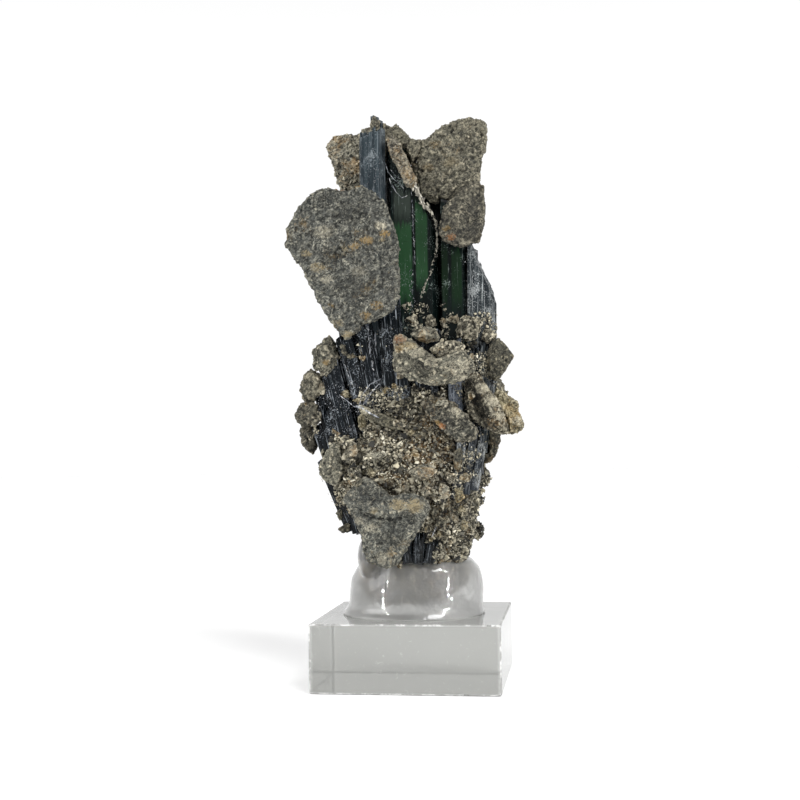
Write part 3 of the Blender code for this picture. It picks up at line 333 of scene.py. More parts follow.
# Where crumbs lie on the crystals' front: left, right, low and high edge, how many, smallest and largest size.
CRUMBS = [
    (-1.0, 10.5, 92.5, 103.0, 320, 0.3, 1.4),
    (8.0, 24.0, 80.0, 100.0, 1500, 0.3, 1.5),
    (12.0, 22.0, 70.0, 88.0, 500, 0.3, 1.3),
    (-21.0, -2.0, 66.0, 97.0, 40, 0.3, 0.9),
    (-13.0, 2.0, 66.0, 80.0, 1600, 0.3, 1.3),
    (-25.0, -8.0, 44.0, 56.0, 200, 0.25, 1.0),
    (-20.5, -10.0, 48.0, 66.0, 1500, 0.3, 1.3),
    (8.0, 22.0, 44.0, 62.0, 1500, 0.3, 1.2),
    (8.0, 22.0, 60.0, 78.0, 300, 0.3, 1.0),
    (-2.0, 9.0, 30.0, 44.0, 60, 0.3, 0.9),
]
# Where silvery dust and splinters lie on them, in the same form.
SILVER_CRUMBS = [
    (14.5, 24.5, 92.0, 120.0, 500, 0.12, 0.4),
    (-13.0, -5.0, 130.0, 151.0, 500, 0.12, 0.35),
    (-26.0, -13.0, 68.0, 81.0, 900, 0.12, 0.5),
    (-23.0, -12.0, 80.0, 92.0, 260, 0.12, 0.4),
    (-5.0, 16.0, 98.0, 134.0, 260, 0.1, 0.3),
    (-13.0, 1.0, 84.0, 100.0, 200, 0.1, 0.4),
    (10.0, 16.0, 70.0, 84.0, 500, 0.12, 0.4),
    (16.0, 25.0, 78.0, 94.0, 500, 0.15, 0.5),
]

# The glue's rings, from the block up: height, left, right, front and back; and a swelling at its left.
GLUE_SIDES = 56
GLUE_LEVELS = [
    (17.7, -20.4, 19.5, -18.4, 17.4), (18.3, -20.2, 19.3, -18.1, 17.2), (19.0, -19.6, 18.9, -17.4, 16.6),
    (20.4, -18.5, 18.7, -16.8, 15.6), (22.4, -18.2, 18.8, -16.6, 15.3), (25.0, -18.1, 18.9, -16.1, 15.1),
    (27.6, -17.7, 18.6, -15.4, 14.8), (30.4, -16.2, 17.8, -14.5, 14.0), (32.8, -14.6, 15.8, -13.2, 12.6),
    (34.2, -11.6, 12.0, -10.8, 9.8),
]
GLUE_SWELL = (-11.6, -9.0, 34.0)
GLUE_SWELL_SIZE = (2.8, 7.0, 5.6)
BLOCK_CUTS = 40
BLOCK_BEVEL = 0.4 * MM


class StageSettings(bpy.types.PropertyGroup):
    """The floor and the light"""

    floor_radius: FloatProperty(
        name="Floor radius", description="How far the floor reaches", default=4.0, unit="LENGTH")
    floor_colour: FloatVectorProperty(
        name="Floor colour", description="Colour of the floor", default=(0.9, 0.9, 0.9), subtype="COLOR")
    floor_glow: FloatProperty(
        name="Floor glow", description="How brightly the floor is lit from below", default=0.17, min=0.0)
    floor_drop: FloatProperty(
        name="Floor drop", description="How far the floor lies below the block", default=0.15 * MM,
        unit="LENGTH")


class StoneSettings(bpy.types.PropertyGroup):
    """The broken stones"""

    grain: FloatProperty(
        name="Skin detail", description="Spacing of the points in a stone's skin", default=0.36 * MM, unit="LENGTH")
    relief: FloatProperty(
        name="Relief", description="Depth of the broken surface", default=0.55 * MM, unit="LENGTH")


class CrystalSettings(bpy.types.PropertyGroup):
    """The vivianite"""

    # The clear patches' green is painted as colour in place of light seen through the crystal.
    green: FloatVectorProperty(
        name="Window green", description="Colour of the clear patches", default=(0.019, 0.056, 0.024),
        subtype="COLOR")


class GravelSettings(bpy.types.PropertyGroup):
    """The gravel"""

    grains: IntProperty(name="Grains", description="How many grains cover the gravel", default=12000, min=0)
    grit: IntProperty(name="Grit", description="How many fine grains lie between them", default=12500, min=0)
    grain_size: FloatProperty(
        name="Grain size", description="Breadth of a middling grain", default=0.8 * MM, unit="LENGTH")


class ClearSettings(bpy.types.PropertyGroup):
    """The glue and the block"""

    # The block's grey is partly its haze and partly painted grey standing in for darker surroundings seen through it.
    block_haze_and_painted_surround: FloatVectorProperty(
        name="Block tint", description="What the block's plastic lets through", default=(0.415, 0.42, 0.4),
        subtype="COLOR")
    glue_tint: FloatVectorProperty(
        name="Glue tint", description="Colour of the glue", default=(0.86, 0.86, 0.84), subtype="COLOR")


class SpecimenSettings(bpy.types.PropertyGroup):
    """All the settings"""

    stage: PointerProperty(type=StageSettings)
    stones: PointerProperty(type=StoneSettings)
    crystals: PointerProperty(type=CrystalSettings)
    gravel: PointerProperty(type=GravelSettings)
    clear: PointerProperty(type=ClearSettings)


def only(piece):
    """Makes piece the one selected and active object."""
    bpy.ops.object.select_all(action="DESELECT")
    piece.select_set(True)
    bpy.context.view_layer.objects.active = piece


def changed(piece, kind, **settings):
    """Gives piece a modifier and applies it."""
    only(piece)
    added = piece.modifiers.new(kind.capitalize(), kind)
    for name, value in settings.items():
        setattr(added, name, value)
    bpy.ops.object.modifier_apply(modifier=added.name)


def finished(piece, finish, slot, *nodes):
    """Gives a piece its material and its body, and hides the nodes it stands for. Its slot is not used."""
    piece.data.materials.clear()
    piece.data.materials.append(finish)
    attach(piece, BODY)
    if nodes:
        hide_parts(*nodes)


def new_piece(name, mesh):
    """An object that shows mesh."""
    piece = bpy.data.objects.new(name, mesh)
    bpy.context.scene.collection.objects.link(piece)
    return piece


def add(tree, kind, inputs=None, **settings):
    """A node in tree, with its settings, and its inputs given as values or as the sockets that feed them."""
    made = tree.nodes.new(kind)
    for name, value in settings.items():
        setattr(made, name, value)
    for name, value in (inputs or {}).items():
        if isinstance(value, bpy.types.NodeSocket):
            tree.links.new(value, made.inputs[name])
        else:
            made.inputs[name].default_value = value
    return made


def math_of(tree, operation, *values):
    """The result of a Math node."""
    return add(tree, "ShaderNodeMath", dict(enumerate(values)), operation=operation).outputs[0]


def spread(tree, value, low, high, to_low=0.0, to_high=1.0):
    """value mapped from low..high to to_low..to_high, and held between them."""
    inputs = {"Value": value, "From Min": low, "From Max": high, "To Min": to_low, "To Max": to_high}
    return add(tree, "ShaderNodeMapRange", inputs).outputs["Result"]


def blended(tree, share, under, over, mode="MIX"):
    """The colour under with the colour over laid on it by share."""
    mix = add(tree, "ShaderNodeMix", data_type="RGBA", blend_type=mode)
    for socket, value in ((mix.inputs[0], share), (mix.inputs[6], under), (mix.inputs[7], over)):
        if isinstance(value, bpy.types.NodeSocket):
            tree.links.new(value, socket)
        else:
            socket.default_value = value
    return mix.outputs[2]


def noise_of(tree, place, size, detail=2.0, rough=0.5, warp=0.0):
    """Noise between 0 and 1 whose features are about size millimetres wide."""
    inputs = {"Vector": place, "Scale": PER_MM / size, "Detail": detail, "Roughness": rough, "Distortion": warp}
    return add(tree, "ShaderNodeTexNoise", inputs).outputs["Fac"]


def fibres(tree, place, turn, width, length):
    """Noise drawn out into fine lines across a front face, turned from the level by turn degrees."""
    turned = add(tree, "ShaderNodeVectorRotate", {"Vector": place, "Angle": math.radians(turn)},
                 rotation_type="Y_AXIS")
    stretch = (PER_MM / length, PER_MM / width, PER_MM / width)
    scaled = add(tree, "ShaderNodeVectorMath", {0: turned.outputs[0], 1: stretch}, operation="MULTIPLY")
    inputs = {"Vector": scaled.outputs[0], "Scale": 1.0, "Detail": 2.0, "Roughness": 0.6, "Distortion": 0.5}
    return add(tree, "ShaderNodeTexNoise", inputs).outputs["Fac"]


def group(name, inputs, outputs):
    """A new shader node group with these sockets, its tree and its input and output nodes."""
    tree = bpy.data.node_groups.new(name, "ShaderNodeTree")
    for side, sockets in (("INPUT", inputs), ("OUTPUT", outputs)):
        for label, kind, *default in sockets:
            socket = tree.interface.new_socket(label, in_out=side, socket_type="NodeSocket" + kind)
            if default:
                socket.default_value = default[0]
    return tree, tree.nodes.new("NodeGroupInput").outputs, tree.nodes.new("NodeGroupOutput").inputs


def material(name, **constants):
    """A new material, its tree and its Principled shader with constant values set on its sockets."""
    made = bpy.data.materials.new(name)
    made.use_nodes = True
    tree = made.node_tree
    shader = tree.nodes["Principled BSDF"]
    for label, value in constants.items():
        shader.inputs[label.replace("_", " ")].default_value = value
    return made, tree, shader


def use_group(tree, shader, shared, values, bump=0.1 * MM):
    """Places a shared group in a material, with its own values, and feeds the shader from it."""
    placed = add(tree, "ShaderNodeGroup", node_tree=shared)
    for label, value in values.items():
        placed.inputs[label].default_value = value
    tree.links.new(placed.outputs["Colour"], shader.inputs["Base Color"])
    tree.links.new(placed.outputs["Roughness"], shader.inputs["Roughness"])
    relief = add(tree, "ShaderNodeBump", {"Height": placed.outputs["Height"], "Distance": bump})
    tree.links.new(relief.outputs["Normal"], shader.inputs["Normal"])
    return placed


def colour(red, green, blue):
    return (red, green, blue, 1.0)


def moved_between(place, before, level):
    """A ring's point carried from one level's box to the next: height, left, right, front and back."""
    share = [(place.x - before[1]) / (before[2] - before[1]), (place.y - before[3]) / (before[4] - before[3])]
    height, left, right, front, back = [length * MM for length in level]
    return Vector((left + share[0] * (right - left), front + share[1] * (back - front), height))


def glue_finish(tint):
    """Milky clear glue with a glossy skin."""
    made, tree, shader = material("milky glue", Transmission_Weight=0.86, IOR=1.42, Coat_Weight=1.0,
                                  Coat_Roughness=0.03)
    place = tree.nodes.new("ShaderNodeTexCoord").outputs["Object"]
    cloud = noise_of(tree, place, 8.0, 3.0)
    shade = blended(tree, spread(tree, cloud, 0.35, 0.65), colour(*[c * 0.85 for c in tint]), colour(*tint))
    tree.links.new(shade, shader.inputs["Base Color"])
    tree.links.new(spread(tree, cloud, 0.3, 0.7, 0.45, 0.28), shader.inputs["Roughness"])
    relief = add(tree, "ShaderNodeBump", {"Height": noise_of(tree, place, 3.0, 2.0), "Distance": 0.3 * MM})
    tree.links.new(relief.outputs["Normal"], shader.inputs["Normal"])
    return made


def block_finish(tint):
    """Clear plastic, grey partly from its own haze and partly from painted grey standing in for darker surroundings
    seen through it, with scuffs and frosted edges.
    """
    made, tree, shader = material("clear plastic", Transmission_Weight=0.62, IOR=1.49)
    place = tree.nodes.new("ShaderNodeTexCoord").outputs["Object"]
    point = tree.nodes.new("ShaderNodeNewGeometry").outputs["Pointiness"]
    edge = spread(tree, point, 0.51, 0.56)
    scuffs = spread(tree, noise_of(tree, place, 2.0, 4.0, 0.7, 2.0), 0.62, 0.75)
    haze = math_of(tree, "MAXIMUM", edge, math_of(tree, "MULTIPLY", scuffs, 0.4))
    shade = blended(tree, haze, colour(*tint), colour(0.9, 0.9, 0.89))
    tree.links.new(shade, shader.inputs["Base Color"])
    tree.links.new(spread(tree, haze, 0.0, 1.0, 0.03, 0.45), shader.inputs["Roughness"])
    relief = add(tree, "ShaderNodeBump", {"Height": noise_of(tree, place, 6.0, 3.0), "Distance": 0.05 * MM})
    tree.links.new(relief.outputs["Normal"], shader.inputs["Normal"])
    return made


def broken_stone_group():
    """Mottled broken stone: felted pale fibres, pale and dark grains, stains, edges paled partly by wear and partly as
    painted highlight, and painted shade in pits and hollows.
    """
    tree, given, out = group(
        "Broken stone",
        [("Light", "Color", colour(0.2, 0.18, 0.14)), ("Dark", "Color", colour(0.05, 0.05, 0.045)),
         ("Fibre", "Color", colour(0.4, 0.4, 0.36)), ("Fibre share", "Float", 0.5),
         ("Grain", "Color", colour(0.5, 0.46, 0.36)), ("Grain share", "Float", 0.2),
         ("Stain", "Color", colour(0.3, 0.15, 0.04)), ("Stain share", "Float", 0.3),
         ("Pits", "Float", 0.7), ("Edge", "Float", 0.6)],
        [("Colour", "Color"), ("Roughness", "Float"), ("Height", "Float")],
    )
    place = tree.nodes.new("ShaderNodeTexCoord").outputs["Object"]
    broad = noise_of(tree, place, 7.0, 4.0, 0.6)
    patchy = noise_of(tree, place, 2.2, 3.0, 0.6)
    wisps = noise_of(tree, place, 1.5, 6.0, 0.75, 2.0)
    fine = noise_of(tree, place, 0.7, 3.0, 0.7)
    tone = math_of(tree, "MULTIPLY_ADD", broad, 1.0, math_of(tree, "MULTIPLY_ADD", wisps, 1.4, fine))
    tone = spread(tree, tone, 1.5, 1.95)
    shade = blended(tree, tone, given["Dark"], given["Light"])
    felt = None
    for turn, width, length in FIBRES:
        line = spread(tree, fibres(tree, place, turn, width, length), 0.56, 0.68)
        felt = math_of(tree, "MAXIMUM", felt, line) if felt else line
    gate = spread(tree, patchy, 0.4, 0.56, 0.15, 1.0)
    felt = math_of(tree, "MULTIPLY", math_of(tree, "MULTIPLY", felt, gate), given["Fibre share"])
    shade = blended(tree, felt, shade, given["Fibre"])
    cells = add(tree, "ShaderNodeTexVoronoi", {"Vector": place, "Scale": PER_MM / 0.75, "Randomness": 1.0})
    pick = add(tree, "ShaderNodeSeparateColor", {"Color": cells.outputs["Color"]})
    gate = math_of(tree, "ADD", pick.outputs[0], math_of(tree, "MULTIPLY_ADD", patchy, 1.2, -0.6))
    start = math_of(tree, "SUBTRACT", 1.0, given["Grain share"])
    grains = spread(tree, math_of(tree, "SUBTRACT", gate, start), 0.0, 0.15)
    grains = math_of(tree, "MULTIPLY", grains, spread(tree, cells.outputs["Distance"], 0.6, 0.25, 0.0, 0.9))
    shade = blended(tree, grains, shade, given["Grain"])
    # Painted shade in small pits, joined with dark specks that are real dark grains.
    pit_shade = noise_of(tree, place, 0.9, 3.0, 0.6, 0.6)
    pit_shade_and_specks = math_of(tree, "MULTIPLY", spread(tree, pit_shade, 0.41, 0.34), given["Pits"])
    specks = math_of(tree, "MULTIPLY", spread(tree, pick.outputs[1], 0.12, 0.05), 0.7)
    pit_shade_and_specks = math_of(tree, "MAXIMUM", pit_shade_and_specks, specks)
    shade = blended(tree, pit_shade_and_specks, shade, colour(0.01, 0.011, 0.01))
    veins = noise_of(tree, place, 3.0, 5.0, 0.7, 1.0)
    cracks = math_of(tree, "MULTIPLY", spread(tree, veins, 0.475, 0.5), spread(tree, veins, 0.525, 0.5))
    shade = blended(tree, math_of(tree, "MULTIPLY", cracks, 0.55), shade, colour(0.015, 0.015, 0.013))
    rust = math_of(tree, "MULTIPLY_ADD", wisps, 0.7, noise_of(tree, place, 9.0, 5.0, 0.65))
    limit = math_of(tree, "SUBTRACT", 1.1, math_of(tree, "MULTIPLY", given["Stain share"], 0.5))
    rusty = math_of(tree, "MULTIPLY", spread(tree, math_of(tree, "SUBTRACT", rust, limit), 0.0, 0.12), 0.55)
    shade = blended(tree, rusty, shade, given["Stain"])
    # Edges, found by pointiness, are paled with the grain colour: partly chipped wear, partly painted highlight where
    # edges catch light.
    point = tree.nodes.new("ShaderNodeNewGeometry").outputs["Pointiness"]
    paled_edges = math_of(tree, "MULTIPLY", spread(tree, point, 0.52, 0.6), given["Edge"])
    shade = blended(tree, paled_edges, shade, given["Grain"])
    # Painted shade: hollows and creases, found by pointiness, are darkened as if shaded.
    deep = spread(tree, point, 0.485, 0.42, 0.0, 0.85)
    shade = blended(tree, deep, shade, colour(0.01, 0.01, 0.009))
    tree.links.new(shade, out["Colour"])
    tree.links.new(spread(tree, tone, 0.0, 1.0, 0.7, 0.95), out["Roughness"])
    height = math_of(tree, "MULTIPLY_ADD", felt, 0.6, math_of(tree, "MULTIPLY_ADD", wisps, 1.2, fine))
    height = math_of(tree, "MULTIPLY_ADD", pit_shade_and_specks, -0.9, height)
    tree.links.new(math_of(tree, "MULTIPLY_ADD", cracks, -0.8, height), out["Height"])
    return tree


def patch_group():
    """A ragged, streaky patch round one place: its share in the middle, falling to 0 at its reach."""
    tree, given, out = group(
        "Stone patch", [("Middle", "Vector"), ("Reach", "Float", 3.0), ("Share", "Float", 0.6)],
        [("Mask", "Float")])
    place = tree.nodes.new("ShaderNodeTexCoord").outputs["Object"]
    scaled = add(tree, "ShaderNodeVectorMath", {0: place, "Scale": PER_MM}, operation="SCALE").outputs[0]
    off = add(tree, "ShaderNodeVectorMath", {0: scaled, 1: given["Middle"]}, operation="SUBTRACT").outputs[0]
    flat = add(tree, "ShaderNodeVectorMath", {0: off, 1: (1.0, 1.0, 1.5)}, operation="MULTIPLY").outputs[0]
    away = add(tree, "ShaderNodeVectorMath", {0: flat}, operation="LENGTH").outputs["Value"]
    near = math_of(tree, "SUBTRACT", 1.0, math_of(tree, "DIVIDE", away, given["Reach"]))
    ragged = math_of(tree, "MULTIPLY_ADD", noise_of(tree, place, 0.9, 5.0, 0.8, 1.5), 9.0, -4.7)
    seen = spread(tree, math_of(tree, "ADD", math_of(tree, "MULTIPLY", near, 1.5), ragged), 0.1, 0.6)
    seen = math_of(tree, "MULTIPLY", seen, spread(tree, near, 0.0, 0.25))
    tree.links.new(math_of(tree, "MULTIPLY", seen, given["Share"]), out["Mask"])
    return tree


def stone_finishes():
    """Every stone finish by name: light and dark body, fibres, grains, stain and worn edges."""
    shared = broken_stone_group()
    looks = {
        "slab stone": ((0.115, 0.117, 0.104), (0.022, 0.026, 0.025), (0.42, 0.41, 0.34), 0.85,
                       (0.42, 0.4, 0.31), 0.08, (0.26, 0.17, 0.06), 0.25, 0.55, 0.65),
        "grey stone": ((0.145, 0.148, 0.128), (0.028, 0.031, 0.03), (0.42, 0.41, 0.33), 0.8,
                       (0.46, 0.42, 0.32), 0.14, (0.26, 0.18, 0.08), 0.2, 0.75, 0.65),
        "wedge stone": ((0.11, 0.1, 0.074), (0.02, 0.02, 0.017), (0.46, 0.42, 0.3), 0.65,
                        (0.62, 0.57, 0.43), 0.24, (0.26, 0.15, 0.05), 0.3, 0.8, 0.9),
        "boat stone": ((0.2, 0.194, 0.15), (0.04, 0.041, 0.035), (0.5, 0.47, 0.36), 0.7,
                       (0.64, 0.58, 0.43), 0.22, (0.3, 0.2, 0.08), 0.2, 0.8, 0.85),
        "brown stone": ((0.19, 0.178, 0.132), (0.036, 0.036, 0.03), (0.5, 0.46, 0.34), 0.8,
                        (0.5, 0.45, 0.33), 0.18, (0.28, 0.17, 0.06), 0.2, 0.6, 0.65),
        "deep brown stone": ((0.105, 0.099, 0.076), (0.018, 0.018, 0.016), (0.38, 0.35, 0.26), 0.7,
                             (0.38, 0.34, 0.25), 0.16, (0.26, 0.14, 0.045), 0.25, 0.7, 0.65),
        "pale stone": ((0.33, 0.315, 0.245), (0.06, 0.06, 0.05), (0.62, 0.58, 0.46), 0.7,
                       (0.62, 0.57, 0.43), 0.28, (0.34, 0.2, 0.07), 0.5, 0.8, 0.8),
        "splintery stone": ((0.3, 0.27, 0.2), (0.03, 0.03, 0.027), (0.56, 0.51, 0.4), 0.8,
                            (0.55, 0.5, 0.38), 0.22, (0.3, 0.18, 0.06), 0.45, 0.8, 0.7),
        "granular stone": ((0.2, 0.185, 0.135), (0.014, 0.014, 0.013), (0.56, 0.51, 0.38), 0.55,
                           (0.68, 0.62, 0.47), 0.42, (0.33, 0.2, 0.06), 0.4, 1.0, 0.85),
        "diagonal stone": ((0.12, 0.118, 0.095), (0.018, 0.019, 0.017), (0.42, 0.39, 0.29), 0.65,
                           (0.54, 0.49, 0.37), 0.24, (0.28, 0.17, 0.06), 0.45, 0.9, 0.75),
        "plate stone": ((0.12, 0.11, 0.075), (0.04, 0.038, 0.027), (0.34, 0.31, 0.21), 0.6,
                        (0.5, 0.46, 0.34), 0.08, (0.3, 0.18, 0.06), 0.3, 0.4, 0.7),
        "yellow stone": ((0.32, 0.28, 0.17), (0.05, 0.046, 0.03), (0.6, 0.53, 0.36), 0.6,
                         (0.7, 0.62, 0.43), 0.36, (0.38, 0.24, 0.08), 0.5, 0.8, 0.8),
        "dark stone": ((0.1, 0.096, 0.074), (0.018, 0.019, 0.017), (0.34, 0.31, 0.22), 0.6,
                       (0.42, 0.38, 0.27), 0.16, (0.22, 0.13, 0.045), 0.4, 0.7, 0.65),
    }
    made = {}
    patch = patch_group()
    for name, (light, dark, fibre, fibre_share, grain, grain_share, stain, stain_share, pit_shade, edge) in looks.items():
        made[name], tree, shader = material(name, Specular_IOR_Level=0.3)
        values = {"Light": colour(*light), "Dark": colour(*dark), "Fibre": colour(*fibre),
                  "Fibre share": fibre_share, "Grain": colour(*grain), "Grain share": grain_share,
                  "Stain": colour(*stain), "Stain share": stain_share, "Pits": pit_shade, "Edge": edge}
        placed = use_group(tree, shader, shared, values, 0.3 * MM)
        shade = placed.outputs["Colour"]
        for middle, reach, tint, share in PATCHES.get(name, ()):
            seen = add(tree, "ShaderNodeGroup", {"Middle": middle, "Reach": reach, "Share": share}, node_tree=patch)
            shade = blended(tree, seen.outputs["Mask"], shade, colour(*tint))
        tree.links.new(shade, shader.inputs["Base Color"])
    return made


def striated_group():
    """A crystal face with fine lines along it, read from the blade's own maps; its pale lines and step edges are
    painted sheen.

    The map "along" holds the way across and along a face, and "edges" the way across a step and its breadth.
    """
    tree, given, out = group(
        "Striated crystal",
        [("Body", "Color", colour(0.004, 0.006, 0.007)), ("Band", "Color", colour(0.01, 0.016, 0.018)),
         ("Line", "Color", colour(0.3, 0.33, 0.35)), ("Line share", "Float", 0.2),
         ("Edge share", "Float", 0.5), ("Speck share", "Float", 0.2),
         ("Dust", "Color", colour(0.15, 0.16, 0.16)), ("Dust share", "Float", 0.1), ("Gloss", "Float", 0.15)],
        [("Colour", "Color"), ("Roughness", "Float"), ("Height", "Float"), ("Lines", "Float")],
    )
    uv = tree.nodes.new("ShaderNodeUVMap")
    uv.uv_map = "along"
    parts = add(tree, "ShaderNodeSeparateXYZ", {"Vector": uv.outputs["UV"]})
    across, along = parts.outputs["X"], parts.outputs["Y"]

    def streaks(width, length, detail):
        stretched = add(tree, "ShaderNodeCombineXYZ", {
            "X": math_of(tree, "DIVIDE", across, width), "Y": math_of(tree, "DIVIDE", along, length)})
        inputs = {"Vector": stretched.outputs["Vector"], "Scale": 1.0, "Detail": detail, "Roughness": 0.6}
        return add(tree, "ShaderNodeTexNoise", inputs).outputs["Fac"]

    bands = streaks(1.6, 60.0, 2.0)
    lines = streaks(0.3, 16.0, 3.0)
    ticks = streaks(0.5, 2.4, 3.0)
    shade = blended(tree, spread(tree, bands, 0.4, 0.62), given["Body"], given["Band"])
    # Painted sheen: pale lines along the striations and, below, glints along the step edges, in the Line colour; the
    # specks joined to them after are the crystal's own.
    start = math_of(tree, "SUBTRACT", 0.78, math_of(tree, "MULTIPLY", given["Line share"], 0.3))
    silver = math_of(tree, "MULTIPLY_ADD", ticks, 0.3, math_of(tree, "SUBTRACT", lines, 0.07))
    silver = spread(tree, math_of(tree, "SUBTRACT", silver, start), 0.0, 0.12)

    edges = tree.nodes.new("ShaderNodeUVMap")
    edges.uv_map = "edges"
    step = add(tree, "ShaderNodeSeparateXYZ", {"Vector": edges.outputs["UV"]})
    reach = math_of(tree, "MINIMUM", step.outputs["X"], math_of(tree, "SUBTRACT", step.outputs["Y"], step.outputs["X"]))
    painted_edge_glint = spread(tree, reach, 0.14, 0.03)
    broken = streaks(0.9, 6.0, 4.0)
    gate = math_of(tree, "SUBTRACT", broken, math_of(tree, "SUBTRACT", 0.72, math_of(tree, "MULTIPLY", given["Edge share"], 0.3)))
    painted_edge_glint = math_of(tree, "MULTIPLY", painted_edge_glint, spread(tree, gate, 0.0, 0.1))
    silver = math_of(tree, "MAXIMUM", silver, painted_edge_glint)
    place = tree.nodes.new("ShaderNodeTexCoord").outputs["Object"]
    crumbs = math_of(tree, "MULTIPLY_ADD", noise_of(tree, place, 5.0, 3.0), 0.8, noise_of(tree, place, 0.42, 3.0, 0.7))
    start = math_of(tree, "SUBTRACT", 1.2, math_of(tree, "MULTIPLY", given["Speck share"], 0.36))
    crumbs = spread(tree, math_of(tree, "SUBTRACT", crumbs, start), 0.0, 0.1)
    silver = math_of(tree, "MAXIMUM", silver, math_of(tree, "MULTIPLY", crumbs, 0.8))
    shade = blended(tree, silver, shade, given["Line"])
    dust = math_of(tree, "MULTIPLY_ADD", noise_of(tree, place, 0.5, 3.0, 0.7), 0.8, noise_of(tree, place, 5.0, 4.0, 0.6))
    floor = math_of(tree, "SUBTRACT", 1.15, math_of(tree, "MULTIPLY", given["Dust share"], 0.6))
    dusty = spread(tree, math_of(tree, "SUBTRACT", dust, floor), 0.0, 0.25)
    shade = blended(tree, math_of(tree, "MULTIPLY", dusty, 0.8), shade, given["Dust"])
    gloss = math_of(tree, "ADD", given["Gloss"], math_of(tree, "MULTIPLY", dusty, 0.5))
    gloss = math_of(tree, "MULTIPLY_ADD", silver, 0.3, gloss)
    tree.links.new(shade, out["Colour"])
    tree.links.new(gloss, out["Roughness"])
    tree.links.new(math_of(tree, "MULTIPLY_ADD", ticks, 0.5, lines), out["Height"])
    tree.links.new(silver, out["Lines"])
    return tree


def window_group():
    """A mask that is 1 inside an upright patch of a front face, whose high edge falls to the right."""
    tree, given, out = group(
        "Clear patch",
        [("Left", "Float"), ("Right", "Float"), ("Low", "Float"), ("High", "Float"), ("Fall", "Float")],
        [("Mask", "Float")])
    place = tree.nodes.new("ShaderNodeTexCoord").outputs["Object"]
    parts = add(tree, "ShaderNodeSeparateXYZ", {"Vector": place})
    x = math_of(tree, "MULTIPLY", parts.outputs["X"], PER_MM)
    z = math_of(tree, "MULTIPLY", parts.outputs["Z"], PER_MM)
    columns = add(tree, "ShaderNodeCombineXYZ", {"X": x, "Z": math_of(tree, "MULTIPLY", z, 0.06)})
    wobble = add(tree, "ShaderNodeTexNoise", {"Vector": columns.outputs["Vector"], "Scale": 1.4, "Detail": 3.0})
    wobble = math_of(tree, "MULTIPLY_ADD", wobble.outputs["Fac"], 10.0, -5.0)
    z = math_of(tree, "ADD", z, wobble)
    past = math_of(tree, "SUBTRACT", x, given["Left"])
    high = math_of(tree, "SUBTRACT", given["High"], math_of(tree, "MULTIPLY", past, given["Fall"]))
    mask = spread(tree, past, 0.0, 0.4)
    for near in (spread(tree, math_of(tree, "SUBTRACT", given["Right"], x), 0.0, 0.4),
                 spread(tree, math_of(tree, "SUBTRACT", z, given["Low"]), -1.0, 4.0),
                 spread(tree, math_of(tree, "SUBTRACT", high, z), -0.6, 0.8),
                 spread(tree, parts.outputs["Y"], -4.0 * MM, -6.5 * MM)):
        mask = math_of(tree, "MULTIPLY", mask, near)
    tree.links.new(mask, out["Mask"])
    return tree


def crystal_finishes(green):
    """The crystal finishes by name, of which one has clear green patches, painted as colour in place of light seen
    through the crystal.
    """
    shared = striated_group()
    looks = {
        "dark crystal": ((0.0015, 0.0025, 0.0032), (0.006, 0.009, 0.012), (0.3, 0.33, 0.36), 0.34, 0.55, 0.5,
                         (0.14, 0.14, 0.13), 0.1, 0.2),
        # The dusty crystal's paler blue-grey body is partly dust and partly painted sheen.
        "dusty crystal": ((0.014, 0.021, 0.026), (0.034, 0.046, 0.053), (0.2, 0.23, 0.25), 0.4, 0.45, 0.5,
                          (0.12, 0.135, 0.14), 0.3, 0.35),
        "speckled crystal": ((0.03, 0.037, 0.05), (0.05, 0.06, 0.078), (0.32, 0.35, 0.39), 0.35, -1.0, 0.75,
                             (0.14, 0.155, 0.18), 0.5, 0.35),
        "fibrous crystal": ((0.01, 0.014, 0.017), (0.028, 0.036, 0.04), (0.36, 0.38, 0.38), 0.5, -1.0, 0.66,
                            (0.12, 0.13, 0.13), 0.2, 0.4),
        "window crystal": ((0.0018, 0.0034, 0.0034), (0.005, 0.01, 0.009), (0.2, 0.24, 0.23), 0.16, 0.35, 0.35,
                           (0.12, 0.13, 0.12), 0.0, 0.14),
        "splinter crystal": ((0.006, 0.008, 0.011), (0.025, 0.031, 0.038), (0.34, 0.36, 0.37), 0.45, -1.0, 0.62,
                             (0.2, 0.2, 0.17), 0.3, 0.3),
    }
    made = {}
    for name, (body, band, line, line_share, edge_share, speck_share, dust, dust_share, gloss) in looks.items():
        made[name], tree, shader = material(name, IOR=1.6, Specular_IOR_Level=0.14)
        values = {"Body": colour(*body), "Band": colour(*band), "Line": colour(*line), "Line share": line_share,
                  "Edge share": edge_share, "Speck share": speck_share, "Dust": colour(*dust),
                  "Dust share": dust_share, "Gloss": gloss}
        placed = use_group(tree, shader, shared, values, 0.08 * MM)
        if name == "window crystal":
            patch = window_group()
            shade = placed.outputs["Colour"]
            # Clear patches painted in: green or grey colour in place of light seen through the crystal.
            for *edges, share in WINDOWS:
                seen = add(tree, "ShaderNodeGroup", node_tree=patch)
                for label, value in zip(("Left", "Right", "Low", "High", "Fall"), edges):
                    seen.inputs[label].default_value = value
                tint = [c * share for c in green] if share else GREY_PATCH
                shade = blended(tree, seen.outputs["Mask"], shade, colour(*tint))
            # Painted sheen lines laid again over the clear patches.
            shade = blended(tree, placed.outputs["Lines"], shade, colour(0.16, 0.2, 0.18))
            tree.links.new(shade, shader.inputs["Base Color"])
    return made


